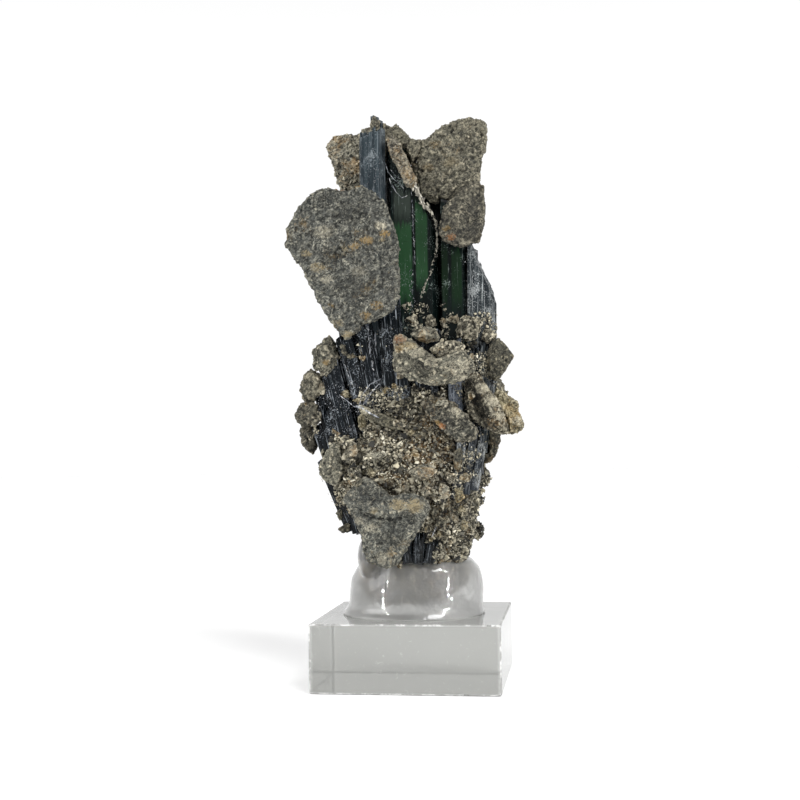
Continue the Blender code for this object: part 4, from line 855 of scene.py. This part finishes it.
def grit_finish(name, stops, size=0.3):
    """Loose grains, each of its own tone."""
    made, tree, shader = material(name, Specular_IOR_Level=0.35)
    tone = add(tree, "ShaderNodeAttribute", attribute_name="tone").outputs["Fac"]
    place = tree.nodes.new("ShaderNodeTexCoord").outputs["Object"]
    speck = noise_of(tree, place, size, 2.0)
    mixed = math_of(tree, "ADD", tone, math_of(tree, "MULTIPLY_ADD", speck, 0.4, -0.2))
    ramp = add(tree, "ShaderNodeValToRGB", {"Fac": mixed})
    while len(ramp.color_ramp.elements) < len(stops):
        ramp.color_ramp.elements.new(0.5)
    for element, (position, shade) in zip(ramp.color_ramp.elements, stops):
        element.position = position
        element.color = colour(*shade)
    tree.links.new(ramp.outputs["Color"], shader.inputs["Base Color"])
    tree.links.new(spread(tree, speck, 0.3, 0.7, 0.55, 0.95), shader.inputs["Roughness"])
    relief = add(tree, "ShaderNodeBump", {"Height": speck, "Distance": 0.08 * MM})
    tree.links.new(relief.outputs["Normal"], shader.inputs["Normal"])
    return made


PALE_STOPS = [(0.0, (0.05, 0.048, 0.042)), (0.35, (0.16, 0.15, 0.13)), (0.6, (0.3, 0.28, 0.23)),
              (0.8, (0.45, 0.42, 0.34)), (1.0, (0.7, 0.67, 0.58))]
SILVER_STOPS = [(0.0, (0.02, 0.024, 0.03)), (0.3, (0.07, 0.08, 0.095)), (0.55, (0.16, 0.17, 0.19)),
                (0.8, (0.33, 0.34, 0.36)), (1.0, (0.6, 0.6, 0.6))]
GRIT_STOPS = [(0.0, (0.014, 0.014, 0.013)), (0.22, (0.05, 0.048, 0.04)), (0.4, (0.17, 0.16, 0.125)),
              (0.58, (0.34, 0.315, 0.24)), (0.78, (0.52, 0.47, 0.34)), (1.0, (0.8, 0.76, 0.63))]


def thin_out(piece, front, back):
    """Thins a piece towards its outline, by these shares of its front half and of its back half."""
    spots = [v.co for v in piece.data.vertices]
    low = Vector([min(spot[axis] for spot in spots) for axis in range(3)])
    high = Vector([max(spot[axis] for spot in spots) for axis in range(3)])
    middle = (low + high) / 2
    half = (high - low) / 2
    for spot in spots:
        reach = min(1.0, ((spot.x - middle.x) / half.x) ** 2 + ((spot.z - middle.z) / half.z) ** 2)
        spot.y -= (spot.y - middle.y) * reach ** 1.4 * (front if spot.y < middle.y else back)


def skin_over(node, name, spacing, layers, thinning=None, warps=()):
    """A closed skin over a copy of the node's solid, remeshed evenly and roughened by layers of texture."""
    piece = new_piece(name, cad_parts[node].data.copy())
    only(piece)
    bpy.ops.object.mode_set(mode="EDIT")
    bpy.ops.mesh.select_all(action="SELECT")
    bpy.ops.mesh.remove_doubles(threshold=0.001 * MM)
    bpy.ops.object.mode_set(mode="OBJECT")
    changed(piece, "REMESH", mode="VOXEL", voxel_size=spacing)
    if thinning:
        thin_out(piece, *thinning)
    for size, depth in warps:
        for v in piece.data.vertices:
            v.co += noise.noise_vector(v.co / size) * depth
    for kind, size, depth, level in layers:
        texture = bpy.data.textures.new(f"{name} {kind}", "VORONOI" if kind == "PLATES" else kind)
        texture.noise_scale = size * MM
        if kind == "CLOUDS":
            texture.noise_depth = 3
            texture.noise_type = "HARD_NOISE"
        if kind == "PLATES":
            texture.color_mode = "POSITION"
        changed(piece, "DISPLACE", texture=texture, texture_coords="LOCAL", strength=depth, mid_level=level)
    return piece


def rock_shapes(count, corners, seed):
    """Small angular rocks of about unit size, each as its corners and its triangles."""
    chance = random.Random(seed)
    shapes = []
    for _ in range(count):
        bm = bmesh.new()
        for _ in range(corners):
            spot = Vector([chance.gauss(0, 1) for _ in range(3)]).normalized()
            bm.verts.new(spot * chance.uniform(0.42, 0.55))
        hull = bmesh.ops.convex_hull(bm, input=bm.verts)
        loose = [v for v in hull["geom_interior"] if isinstance(v, bmesh.types.BMVert)]
        bmesh.ops.delete(bm, geom=loose, context="VERTS")
        bm.verts.index_update()
        shapes.append(([v.co.copy() for v in bm.verts], [[v.index for v in f.verts] for f in bm.faces]))
        bm.free()
    return shapes


def joined(name, shapes, places, map_name=None):
    """One mesh of many shapes. Each place is a shape's number, its matrix and its tone."""
    corners, faces, tones = [], [], []
    for number, matrix, tone in places:
        shape_corners, shape_faces = shapes[number]
        start = len(corners)
        corners.extend(matrix @ corner for corner in shape_corners)
        faces.extend([start + k for k in face] for face in shape_faces)
        tones.extend([tone] * len(shape_corners))
    mesh = bpy.data.meshes.new(name)
    mesh.from_pydata(corners, [], faces)
    attribute = mesh.attributes.new("tone", "FLOAT", "POINT")
    attribute.data.foreach_set("value", tones)
    mesh.update()
    return mesh


def random_turn(chance):
    """Any orientation."""
    axis = Vector([chance.gauss(0, 1) for _ in range(3)]).normalized()
    return Matrix.Rotation(chance.uniform(0, math.tau), 4, axis)


def all_solids():
    """A search tree of the whole frame's surface."""
    corners, faces = [], []
    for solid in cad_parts.values():
        start = len(corners)
        corners.extend(v.co.copy() for v in solid.data.vertices)
        faces.extend([start + k for k in face.vertices] for face in solid.data.polygons)
    return BVHTree.FromPolygons(corners, faces)


def open_spots(node, count, chance, solids, clearance):
    """Random places on the node's surface, with their normals, that have nothing in front of them."""
    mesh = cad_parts[node].data
    weights = [face.area for face in mesh.polygons]
    found = []
    for face in chance.choices(mesh.polygons, weights, k=count * 3):
        a, b, c = [mesh.vertices[k].co for k in face.vertices[:3]]
        s, t = sorted((chance.random(), chance.random()))
        spot = a * s + b * (t - s) + c * (1 - t)
        if solids.ray_cast(spot + face.normal * 0.02 * MM, face.normal, clearance)[0] is None:
            found.append((spot, face.normal.copy()))
        if len(found) == count:
            break
    return found


def aligned(along, outward):
    """The turn that lays x along one direction and points z outward."""
    along = along.normalized()
    across = outward.cross(along).normalized()
    return Matrix((along, across, along.cross(across))).transposed().to_4x4()


def along_path(path, share):
    """The place and direction at a share of the way along a path of points."""
    lengths = [(b - a).length for a, b in zip(path, path[1:])]
    left = share * sum(lengths)
    for start, end, length in zip(path, path[1:], lengths):
        if left <= length:
            break
        left -= length
    return start.lerp(end, min(1.0, left / length)), (end - start).normalized()


def seam_chips(seams, chance, shapes):
    """Chips lying along seams."""
    places = []
    front = Vector((0, -1, 0))
    for path, depth, count, half, size, flat in seams:
        points = [Vector((x, depth, z)) for x, z in path]
        for _ in range(count):
            spot, way = along_path(points, chance.random())
            spot += way.cross(front) * chance.gauss(0, half * 0.6) + front * chance.uniform(-0.3, 0.05)
            long = size * chance.uniform(0.5, 1.5)
            scale = Matrix.Diagonal((long * 1.6, long * flat, long * 0.5, 1.0))
            turn = aligned(way, front) @ Matrix.Rotation(chance.gauss(0, 0.35), 4, "Z")
            places.append((chance.randrange(shapes), Matrix.Scale(MM, 4) @ Matrix.Translation(spot) @ turn @ scale,
                           chance.betavariate(2, 1.6)))
    return places


def hair_lines(lines, chance, shapes):
    """Short needles end to end along thin scratches."""
    places = []
    for path, breadth in lines:
        points = [Vector(p) for p in path]
        total = sum((b - a).length for a, b in zip(points, points[1:]))
        steps = max(4, round(total / 0.5))
        for k in range(steps):
            spot, way = along_path(points, (k + 0.5) / steps)
            wide = breadth * chance.uniform(0.5, 1.3)
            scale = Matrix.Diagonal((chance.uniform(0.7, 1.2), wide, wide, 1.0))
            turn = aligned(way, Vector((0, -1, 0))) @ Matrix.Rotation(chance.gauss(0, 0.12), 4, "Z")
            places.append((chance.randrange(shapes), Matrix.Scale(MM, 4) @ Matrix.Translation(spot) @ turn @ scale,
                           chance.uniform(0.4, 1.0)))
    return places


class BladeMesh:
    """Collects blades in one mesh: crystals whose faces are cut in upright steps."""

    def __init__(self, steps, seed):
        self.narrow, self.wide, self.deep, self.ragged = steps
        self.chance = random.Random(seed)
        self.bm = bmesh.new()
        self.uv = self.bm.loops.layers.uv.new("along")
        self.edges = self.bm.loops.layers.uv.new("edges")

    def outline(self, width, thick):
        """Points round the blade: place, outward normal, step number and distance round it."""
        half, deep = width / 2, thick / 2
        shoulder = 0.74 * half
        corners = [Vector(c) for c in ((-half, 0), (-shoulder, -deep), (shoulder, -deep),
                                       (half, 0), (shoulder, deep), (-shoulder, deep))]
        points = []
        step = 0
        reached = 0.0
        for k, start in enumerate(corners):
            side = corners[(k + 1) % 6] - start
            outward = Vector((side.y, -side.x)).normalized()
            cuts = [0.0]
            while cuts[-1] < side.length - self.narrow:
                cuts.append(cuts[-1] + self.chance.uniform(self.narrow, self.wide))
            cuts[-1] = side.length
            for low, high in zip(cuts, cuts[1:]):
                for cut in (low, high):
                    points.append((start + side * (cut / side.length), outward, step, reached + cut))
                step += 1
            reached += side.length
        return points, step, reached

    def add(self, foot, tip, width, thick, chisel, nib, turn):
        chance = self.chance
        foot, tip = Vector(foot), Vector(tip)
        axis = (tip - foot).normalized()
        across = Matrix.Rotation(math.radians(turn), 3, "Z") @ Vector((1, 0, 0))
        across = (across - axis * across.dot(axis)).normalized()
        through = axis.cross(across)
        points, steps, around = self.outline(width, thick)
        length = (tip - foot).length
        spans = max(2, round(length / 9))
        heights = sorted(chance.uniform(0.05, 0.95) * length for _ in range(spans))
        depth = [chance.uniform(0, self.deep) for _ in range(steps)]
        jag = [-self.ragged * chance.random() ** 2 for _ in range(steps)]
        rings = [(0.0, list(depth))]
        for height in heights:
            rings.append((height, list(depth)))
            depth = [chance.uniform(0, self.deep) if chance.random() < 0.3 else d for d in depth]
            rings.append((height + 0.15, list(depth)))
        rings.append((length * 2, list(depth)))
        loops = []
        for number, (height, depths) in enumerate(rings):
            loop = []
            for spot, outward, step, _ in points:
                at = spot - outward * depths[step]
                top = length + chisel * spot.x + nib * spot.y + jag[step] - 0.02 * (len(rings) - 1 - number)
                rise = min(height, top)
                place = foot + across * at.x + through * at.y + axis * rise
                loop.append((self.bm.verts.new(place * MM), rise))
            loops.append(loop)
        count = len(points)
        for low, high in zip(loops, loops[1:]):
            for k in range(count):
                after = (k + 1) % count
                face = self.bm.faces.new([low[k][0], low[after][0], high[after][0], high[k][0]])
                ends = points[k][3], points[after][3] if after else around
                places = ((ends[0], low[k][1]), (ends[1], low[after][1]),
                          (ends[1], high[after][1]), (ends[0], high[k][1]))
                breadth = abs(ends[1] - ends[0])
                for corner, place, way in zip(face.loops, places, (0.0, breadth, breadth, 0.0)):
                    corner[self.uv].uv = place
                    corner[self.edges].uv = (way, breadth)
        for loop, middle in ((loops[0], foot), (loops[-1], tip - axis * 0.3)):
            centre = self.bm.verts.new(middle * MM)
            for k in range(count):
                after = (k + 1) % count
                face = self.bm.faces.new([loop[k][0], loop[after][0], centre])
                for corner in face.loops:
                    corner[self.uv].uv = corner.vert.co.xy * PER_MM

    def mesh(self, name):
        bmesh.ops.recalc_face_normals(self.bm, faces=self.bm.faces)
        made = bpy.data.meshes.new(name)
        self.bm.to_mesh(made)
        self.bm.free()
        return made


class SPECIMEN_OT_stage(bpy.types.Operator):
    """Make the floor, the lights, the sky and the camera"""

    bl_idname = "specimen.stage"
    bl_label = "Stage"

    def execute(self, context):
        settings = context.scene.specimen.stage
        bpy.ops.object.select_all(action="DESELECT")
        bpy.ops.mesh.primitive_circle_add(vertices=96, radius=settings.floor_radius, fill_type="NGON")
        floor = context.active_object
        floor.name = "floor"
        floor.location.z = -settings.floor_drop
        finish, tree, shader = material("pale floor", Roughness=0.6, Emission_Strength=settings.floor_glow)
        shader.inputs["Emission Color"].default_value = colour(1.0, 1.0, 1.0)
        place = tree.nodes.new("ShaderNodeTexCoord").outputs["Object"]
        pale = colour(*settings.floor_colour)
        shade = blended(tree, noise_of(tree, place, 200.0, 2.0), pale, colour(*[c * 0.99 for c in pale[:3]]))
        tree.links.new(shade, shader.inputs["Base Color"])
        floor.data.materials.append(finish)

        sky = bpy.data.worlds.new("studio")
        sky.use_nodes = True
        tree = sky.node_tree
        way = tree.nodes.new("ShaderNodeTexCoord").outputs["Generated"]
        parts = add(tree, "ShaderNodeSeparateXYZ", {"Vector": way})
        wall = spread(tree, parts.outputs["Y"], -0.5, 0.4, SKY_FRONT, SKY_BACK)
        high = spread(tree, parts.outputs["Z"], 0.3, 0.8, 1.0, SKY_TOP)
        lit = tree.nodes["Background"]
        lit.inputs["Color"].default_value = colour(1.0, 1.0, 1.0)
        tree.links.new(math_of(tree, "MULTIPLY", wall, high), lit.inputs["Strength"])
        context.scene.world = sky
        context.scene.view_settings.view_transform = "Standard"

        for name, way, strength, spreading in SUNS:
            lamp = bpy.data.lights.new(name, "SUN")
            lamp.energy = strength
            lamp.angle = math.radians(spreading)
            stand = bpy.data.objects.new(name, lamp)
            context.scene.collection.objects.link(stand)
            stand.rotation_euler = (-Vector(way)).to_track_quat("-Z", "Y").to_euler()
        for number, (x, y, low, high, count, power) in enumerate(LAMP_ROWS):
            for k in range(count):
                lamp = bpy.data.lights.new(f"row {number + 1} lamp {k + 1}", "AREA")
                lamp.shape = "DISK"
                lamp.size = 6 * MM
                lamp.energy = power
                stand = bpy.data.objects.new(lamp.name, lamp)
                context.scene.collection.objects.link(stand)
                stand.location = Vector((x, y, low + (high - low) * k / (count - 1))) * MM
                aim = Vector((0, 0, 60)) * MM - stand.location
                stand.rotation_euler = aim.to_track_quat("-Z", "Y").to_euler()

        lens = bpy.data.cameras.new("camera")
        lens.lens = CAMERA_LENS
        lens.clip_start = 10 * MM
        camera = bpy.data.objects.new("camera", lens)
        context.scene.collection.objects.link(camera)
        yaw, pitch = math.radians(CAMERA_YAW), math.radians(CAMERA_PITCH)
        forward = Vector((-math.sin(yaw) * math.cos(pitch), math.cos(yaw) * math.cos(pitch), math.sin(pitch)))
        right = forward.cross(Vector((0, 0, 1))).normalized()
        up = right.cross(forward)
        facing = Matrix((right, up, -forward)).transposed()
        roll = Matrix.Rotation(math.radians(CAMERA_ROLL), 3, "Z")
        camera.matrix_world = Matrix.Translation(Vector(CAMERA_PLACE) * MM) @ (facing @ roll).to_4x4()
        context.scene.camera = camera
        return {"FINISHED"}


class SPECIMEN_OT_stones(bpy.types.Operator):
    """Make the broken stones"""

    bl_idname = "specimen.stones"
    bl_label = "Stones"

    def execute(self, context):
        settings = context.scene.specimen.stones
        finishes = stone_finishes()
        for node, (finish, depth) in STONES.items():
            relief = settings.relief * depth
            layers = [("CLOUDS", 5.0, 1.8 * relief, 0.3), ("PLATES", 2.8, 1.5 * relief, 0.52),
                      ("PLATES", 1.2, 1.1 * relief, 0.5), ("CLOUDS", 1.1, 1.5 * relief, 0.3)]
            unseen = node.startswith("back_")
            warps = [(11 * MM, 5.5 * MM), (4.5 * MM, 1.6 * MM)] if unseen else []
            front = 0.5 if "pebble" in node else 0.12
            piece = skin_over(node, f"{node}_rock", settings.grain, layers, (front, 0.7), warps)
            finished(piece, finishes[finish], "stone", node)
        return {"FINISHED"}


class SPECIMEN_OT_crystals(bpy.types.Operator):
    """Make the bladed crystals"""

    bl_idname = "specimen.crystals"
    bl_label = "Crystals"

    def execute(self, context):
        settings = context.scene.specimen.crystals
        finishes = crystal_finishes(settings.green)
        for number, (name, blades) in enumerate(PILLARS.items()):
            collected = BladeMesh(STEPS[name], 31 + number)
            for blade in blades:
                collected.add(*blade)
            piece = new_piece(name, collected.mesh(name))
            finished(piece, finishes[FINISH_OF[name]], "vivianite", "vivianite_crystals")

        chance = random.Random(77)
        shapes = rock_shapes(8, 11, 9)
        pale = new_piece("pale_seams", joined("pale_seams", shapes, seam_chips(SEAMS, chance, len(shapes))))
        finished(pale, grit_finish("crushed crystal", PALE_STOPS), "vivianite")
        lines = seam_chips(SILVER_SEAMS, chance, len(shapes)) + hair_lines(SCRATCHES, chance, len(shapes))
        silver = new_piece("silver_seams", joined("silver_seams", shapes, lines))
        finished(silver, grit_finish("silver crystal", SILVER_STOPS), "vivianite")
        return {"FINISHED"}


class SPECIMEN_OT_gravel(bpy.types.Operator):
    """Make the gravel, its grains and its pebbles"""

    bl_idname = "specimen.gravel"
    bl_label = "Gravel"

    def execute(self, context):
        settings = context.scene.specimen.gravel
        shared = bpy.data.node_groups["Broken stone"]
        earth, tree, shader = material("gravel earth", Specular_IOR_Level=0.25)
        use_group(tree, shader, shared, {
            "Light": colour(0.26, 0.235, 0.17), "Dark": colour(0.018, 0.018, 0.015),
            "Fibre": colour(0.46, 0.42, 0.3), "Fibre share": 0.6,
            "Grain": colour(0.55, 0.5, 0.38), "Grain share": 0.35, "Stain": colour(0.3, 0.17, 0.06),
            "Stain share": 0.5, "Pits": 0.9, "Edge": 0.8}, 0.3 * MM)
        layers = [("CLOUDS", 3.0, 1.8 * MM, 0.45), ("VORONOI", 1.4, -1.2 * MM, 0.4), ("CLOUDS", 0.8, 0.9 * MM, 0.4)]
        body = skin_over("gravel_matrix", "gravel_earth", 0.42 * MM, layers)
        finished(body, earth, "gravel", "gravel_matrix")

        chance = random.Random(12)
        solids = all_solids()
        self.grains(settings, chance, solids)
        self.pebbles(chance, solids)
        self.crumbs(chance, solids)
        return {"FINISHED"}

    def grains(self, settings, chance, solids):
        """Grains over the gravel, paler and darker in patches."""
        shapes = rock_shapes(10, 8, 5)
        finish = grit_finish("grit", GRIT_STOPS)
        for name, count, size in (("gravel_grains", settings.grains, settings.grain_size),
                                  ("gravel_grit", settings.grit, settings.grain_size * 0.45)):
            places = []
            for spot, normal in open_spots("gravel_matrix", count, chance, solids, 1.0 * MM):
                broad = size * min(3.0, chance.lognormvariate(-0.2, 0.55))
                sizes = [broad * chance.uniform(0.4, 1.4) for _ in range(3)]
                centre = spot + normal * broad * chance.uniform(-0.35, 0.2)
                matrix = Matrix.Translation(centre) @ random_turn(chance) @ Matrix.Diagonal(sizes + [1.0])
                tone = chance.betavariate(1.3, 1.5) + 0.35 * noise.noise(spot * 300)
                if spot.x > 8 * MM and spot.z < 56 * MM:
                    tone -= 0.14
                places.append((chance.randrange(len(shapes)), matrix, min(1.0, max(0.0, tone))))
            finished(new_piece(name, joined(name, shapes, places)), finish, "gravel")

    def pebbles(self, chance, solids):
        """The small stones that are seen on the front."""
        shapes = rock_shapes(12, 16, 3)
        for finish, stones in PEBBLES.items():
            places = []
            for x, z, half_x, half_z, *depth in stones:
                start = Vector((x, -60, z)) * MM
                spot = Vector((x, depth[0], z)) * MM if depth else solids.ray_cast(start, Vector((0, 1, 0)))[0]
                if spot is None:
                    raise RuntimeError(f"nothing lies behind the pebble at {x}, {z}")
                half_y = min(half_x, half_z) * 0.9
                turn = Matrix.Rotation(chance.uniform(0, math.tau), 4, "Y")
                scale = Matrix.Diagonal((half_x * 2.1 * MM, half_y * 2.2 * MM, half_z * 2.1 * MM, 1.0))
                centre = spot + Vector((0, 0.1 * half_y * MM, 0))
                places.append((chance.randrange(len(shapes)), Matrix.Translation(centre) @ scale @ turn, 0.5))
            name = finish.replace(" ", "_") + "_pebbles"
            piece = new_piece(name, joined(name, shapes, places))
            changed(piece, "SUBSURF", subdivision_type="SIMPLE", levels=2, render_levels=2)
            for label, size, depth, level in (("lumps", 2.0, 0.9, 0.3), ("bits", 0.7, 0.5, 0.3)):
                texture = bpy.data.textures.new(f"{name} {label}", "CLOUDS")
                texture.noise_scale = size * MM
                texture.noise_type = "HARD_NOISE"
                changed(piece, "DISPLACE", texture=texture, texture_coords="LOCAL", strength=depth * MM,
                        mid_level=level)
            finished(piece, bpy.data.materials[finish], "stone")

    def crumbs(self, chance, solids):
        """Crumbs and silvery dust on the crystals."""
        shapes = rock_shapes(8, 8, 6)
        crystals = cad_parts["vivianite_crystals"].data
        tree = BVHTree.FromPolygons([v.co for v in crystals.vertices], [f.vertices[:] for f in crystals.polygons])
        front = Vector((0, 1, 0))
        for name, areas, finish in (("crumbs", CRUMBS, bpy.data.materials["grit"]),
                                    ("silver_crumbs", SILVER_CRUMBS, bpy.data.materials["silver crystal"])):
            places = []
            for left, right, low, high, count, small, large in areas:
                for _ in range(count):
                    start = Vector((chance.uniform(left, right), -60, chance.uniform(low, high))) * MM
                    spot, normal, _, reach = tree.ray_cast(start, front)
                    drift = noise.noise(start * 260)
                    if spot is None or drift < -0.12 or solids.ray_cast(start, front)[3] < reach - 0.1 * MM:
                        continue
                    broad = chance.uniform(small, small + (large - small) * chance.random()) * MM
                    places.append(self.crumb(spot, normal, broad, chance, len(shapes)))
            if name == "crumbs":
                for spot, normal in open_spots("vivianite_crystals", 1500, chance, solids, 1.0 * MM):
                    if spot.z < 100 * MM and spot.y > -4 * MM and noise.noise(spot * 130) > 0.08:
                        places.append(self.crumb(spot, normal, chance.uniform(0.25, 1.2) * MM, chance, len(shapes)))
            places = [place for place in places if self.carried(place[1].translation)]
            finished(new_piece(name, joined(name, shapes, places)), finish, "gravel")

    def carried(self, spot):
        """Whether a blade lies under the spot: the lowest blades end a little above their solids' feet."""
        return spot.z > (45.5 if spot.x < -12 * MM else 33) * MM

    def crumb(self, spot, normal, broad, chance, shapes):
        """A crumb's shape, place and tone."""
        sizes = [broad * chance.uniform(0.5, 1.4) for _ in range(3)]
        matrix = Matrix.Translation(spot + normal * broad * 0.15) @ random_turn(chance) @ Matrix.Diagonal(sizes + [1.0])
        return chance.randrange(shapes), matrix, chance.betavariate(1.4, 1.4)


class SPECIMEN_OT_clear(bpy.types.Operator):
    """Make the glue and the block"""

    bl_idname = "specimen.clear"
    bl_label = "Glue and block"

    def execute(self, context):
        settings = context.scene.specimen.clear
        finished(self.glue(), glue_finish(settings.glue_tint), "glue", "glue_mound")
        block = self.block()
        finished(block, block_finish(settings.block_haze_and_painted_surround), "acrylic", "clear_block")
        self.frost(block)
        return {"FINISHED"}

    def glue(self):
        """A smooth mound that wets the block and closes inside the specimen's foot."""
        bpy.ops.object.select_all(action="DESELECT")
        bpy.ops.mesh.primitive_uv_sphere_add(segments=24, ring_count=16, radius=1.0)
        swell = bpy.context.active_object
        swell.scale = Vector(GLUE_SWELL_SIZE) * MM
        swell.location = Vector(GLUE_SWELL) * MM
        bpy.ops.object.transform_apply(location=True, rotation=True, scale=True)
        bpy.ops.object.select_all(action="DESELECT")
        bpy.ops.mesh.primitive_circle_add(vertices=GLUE_SIDES, radius=1.0, fill_type="NGON")
        glue = bpy.context.active_object
        glue.name = "glue_mound_smooth"
        bpy.ops.object.mode_set(mode="EDIT")
        before = (0.0, -1.0, 1.0, -1.0, 1.0)
        for number, level in enumerate(GLUE_LEVELS):
            if number:
                bpy.ops.mesh.extrude_region()
            mesh = bmesh.from_edit_mesh(glue.data)
            for v in mesh.verts:
                if v.select:
                    v.co = moved_between(v.co, before, level)
            bmesh.update_edit_mesh(glue.data)
            before = [length * MM for length in level]
        bpy.ops.mesh.select_all(action="SELECT")
        bpy.ops.mesh.normals_make_consistent(inside=False)
        bpy.ops.object.mode_set(mode="OBJECT")
        swell.select_set(True)
        bpy.ops.object.join()
        changed(glue, "REMESH", mode="VOXEL", voxel_size=0.45 * MM)
        changed(glue, "SMOOTH", factor=0.5, iterations=14)
        ripple = bpy.data.textures.new("glue ripple", "CLOUDS")
        ripple.noise_scale = 5 * MM
        changed(glue, "DISPLACE", texture=ripple, texture_coords="LOCAL", strength=0.3 * MM, mid_level=0.5)
        only(glue)
        bpy.ops.object.shade_smooth()
        return glue

    def frost(self, block):
        """Frosts the block's bevels."""
        made, tree, shader = material("frosted plastic", Transmission_Weight=0.3, IOR=1.49, Roughness=0.5)
        place = tree.nodes.new("ShaderNodeTexCoord").outputs["Object"]
        paled_edges = spread(tree, noise_of(tree, place, 3.0, 4.0, 0.7), 0.48, 0.62)
        tree.links.new(blended(tree, paled_edges, colour(0.36, 0.36, 0.35), colour(0.85, 0.85, 0.84)),
                       shader.inputs["Base Color"])
        block.data.materials.append(made)
        low, high = [Vector(corner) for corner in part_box("clear_block")]
        for face in block.data.polygons:
            near = [min(face.center[k] - low[k], high[k] - face.center[k]) < BLOCK_BEVEL for k in range(3)]
            face.material_index = int(sum(near) > 1)

    def block(self):
        """The block, with fine bevels that are chipped here and there."""
        low, high = [Vector(corner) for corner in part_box("clear_block")]
        bpy.ops.object.select_all(action="DESELECT")
        bpy.ops.mesh.primitive_cube_add(size=1.0, location=(low + high) / 2)
        block = bpy.context.active_object
        block.name = "clear_block_polished"
        block.scale = high - low
        bpy.ops.object.transform_apply(location=True, rotation=True, scale=True)
        bpy.ops.object.mode_set(mode="EDIT")
        bpy.ops.mesh.subdivide(number_cuts=BLOCK_CUTS)
        bpy.ops.mesh.select_all(action="DESELECT")
        mesh = bmesh.from_edit_mesh(block.data)
        for edge in mesh.edges:
            edge.select_set(len(edge.link_faces) == 2 and edge.calc_face_angle() > 1.0)
        bmesh.update_edit_mesh(block.data)
        bpy.ops.mesh.bevel(offset=BLOCK_BEVEL, segments=2, affect="EDGES")
        mesh = bmesh.from_edit_mesh(block.data)
        middle = (low + high) / 2
        for v in mesh.verts:
            sides = [min(v.co[k] - low[k], high[k] - v.co[k]) < BLOCK_BEVEL * 0.95 for k in range(3)]
            if sum(sides) < 2:
                continue
            chip = max(0.0, noise.noise(v.co * 900)) * 0.22 * MM + max(0.0, noise.noise(v.co * 160) - 0.4) * 1.4 * MM
            inward = Vector([math.copysign(float(near), middle[k] - v.co[k]) if near else 0.0
                             for k, near in enumerate(sides)])
            v.co += inward * chip
        bmesh.update_edit_mesh(block.data)
        bpy.ops.mesh.select_all(action="SELECT")
        bpy.ops.mesh.normals_make_consistent(inside=False)
        bpy.ops.object.mode_set(mode="OBJECT")
        return block


class SPECIMEN_PT_panel(bpy.types.Panel):
    """Lists the steps"""

    bl_label = "Vivianite specimen"
    bl_idname = "SPECIMEN_PT_panel"
    bl_space_type = "VIEW_3D"
    bl_region_type = "UI"
    bl_category = "Vivianite"

    def draw(self, context):
        for operator in OPERATORS:
            self.layout.operator(operator.bl_idname)


SETTINGS = (StageSettings, StoneSettings, CrystalSettings, GravelSettings, ClearSettings, SpecimenSettings)
OPERATORS = (SPECIMEN_OT_stage, SPECIMEN_OT_stones, SPECIMEN_OT_crystals, SPECIMEN_OT_gravel, SPECIMEN_OT_clear)


def register():
    for kind in (*SETTINGS, *OPERATORS, SPECIMEN_PT_panel):
        bpy.utils.register_class(kind)
    bpy.types.Scene.specimen = PointerProperty(type=SpecimenSettings)


def unregister():
    del bpy.types.Scene.specimen
    for kind in reversed((*SETTINGS, *OPERATORS, SPECIMEN_PT_panel)):
        bpy.utils.unregister_class(kind)


def main():
    register()
    bpy.ops.specimen.stage()
    bpy.ops.specimen.stones()
    bpy.ops.specimen.crystals()
    bpy.ops.specimen.gravel()
    bpy.ops.specimen.clear()


if __name__ == "__main__":
    main()
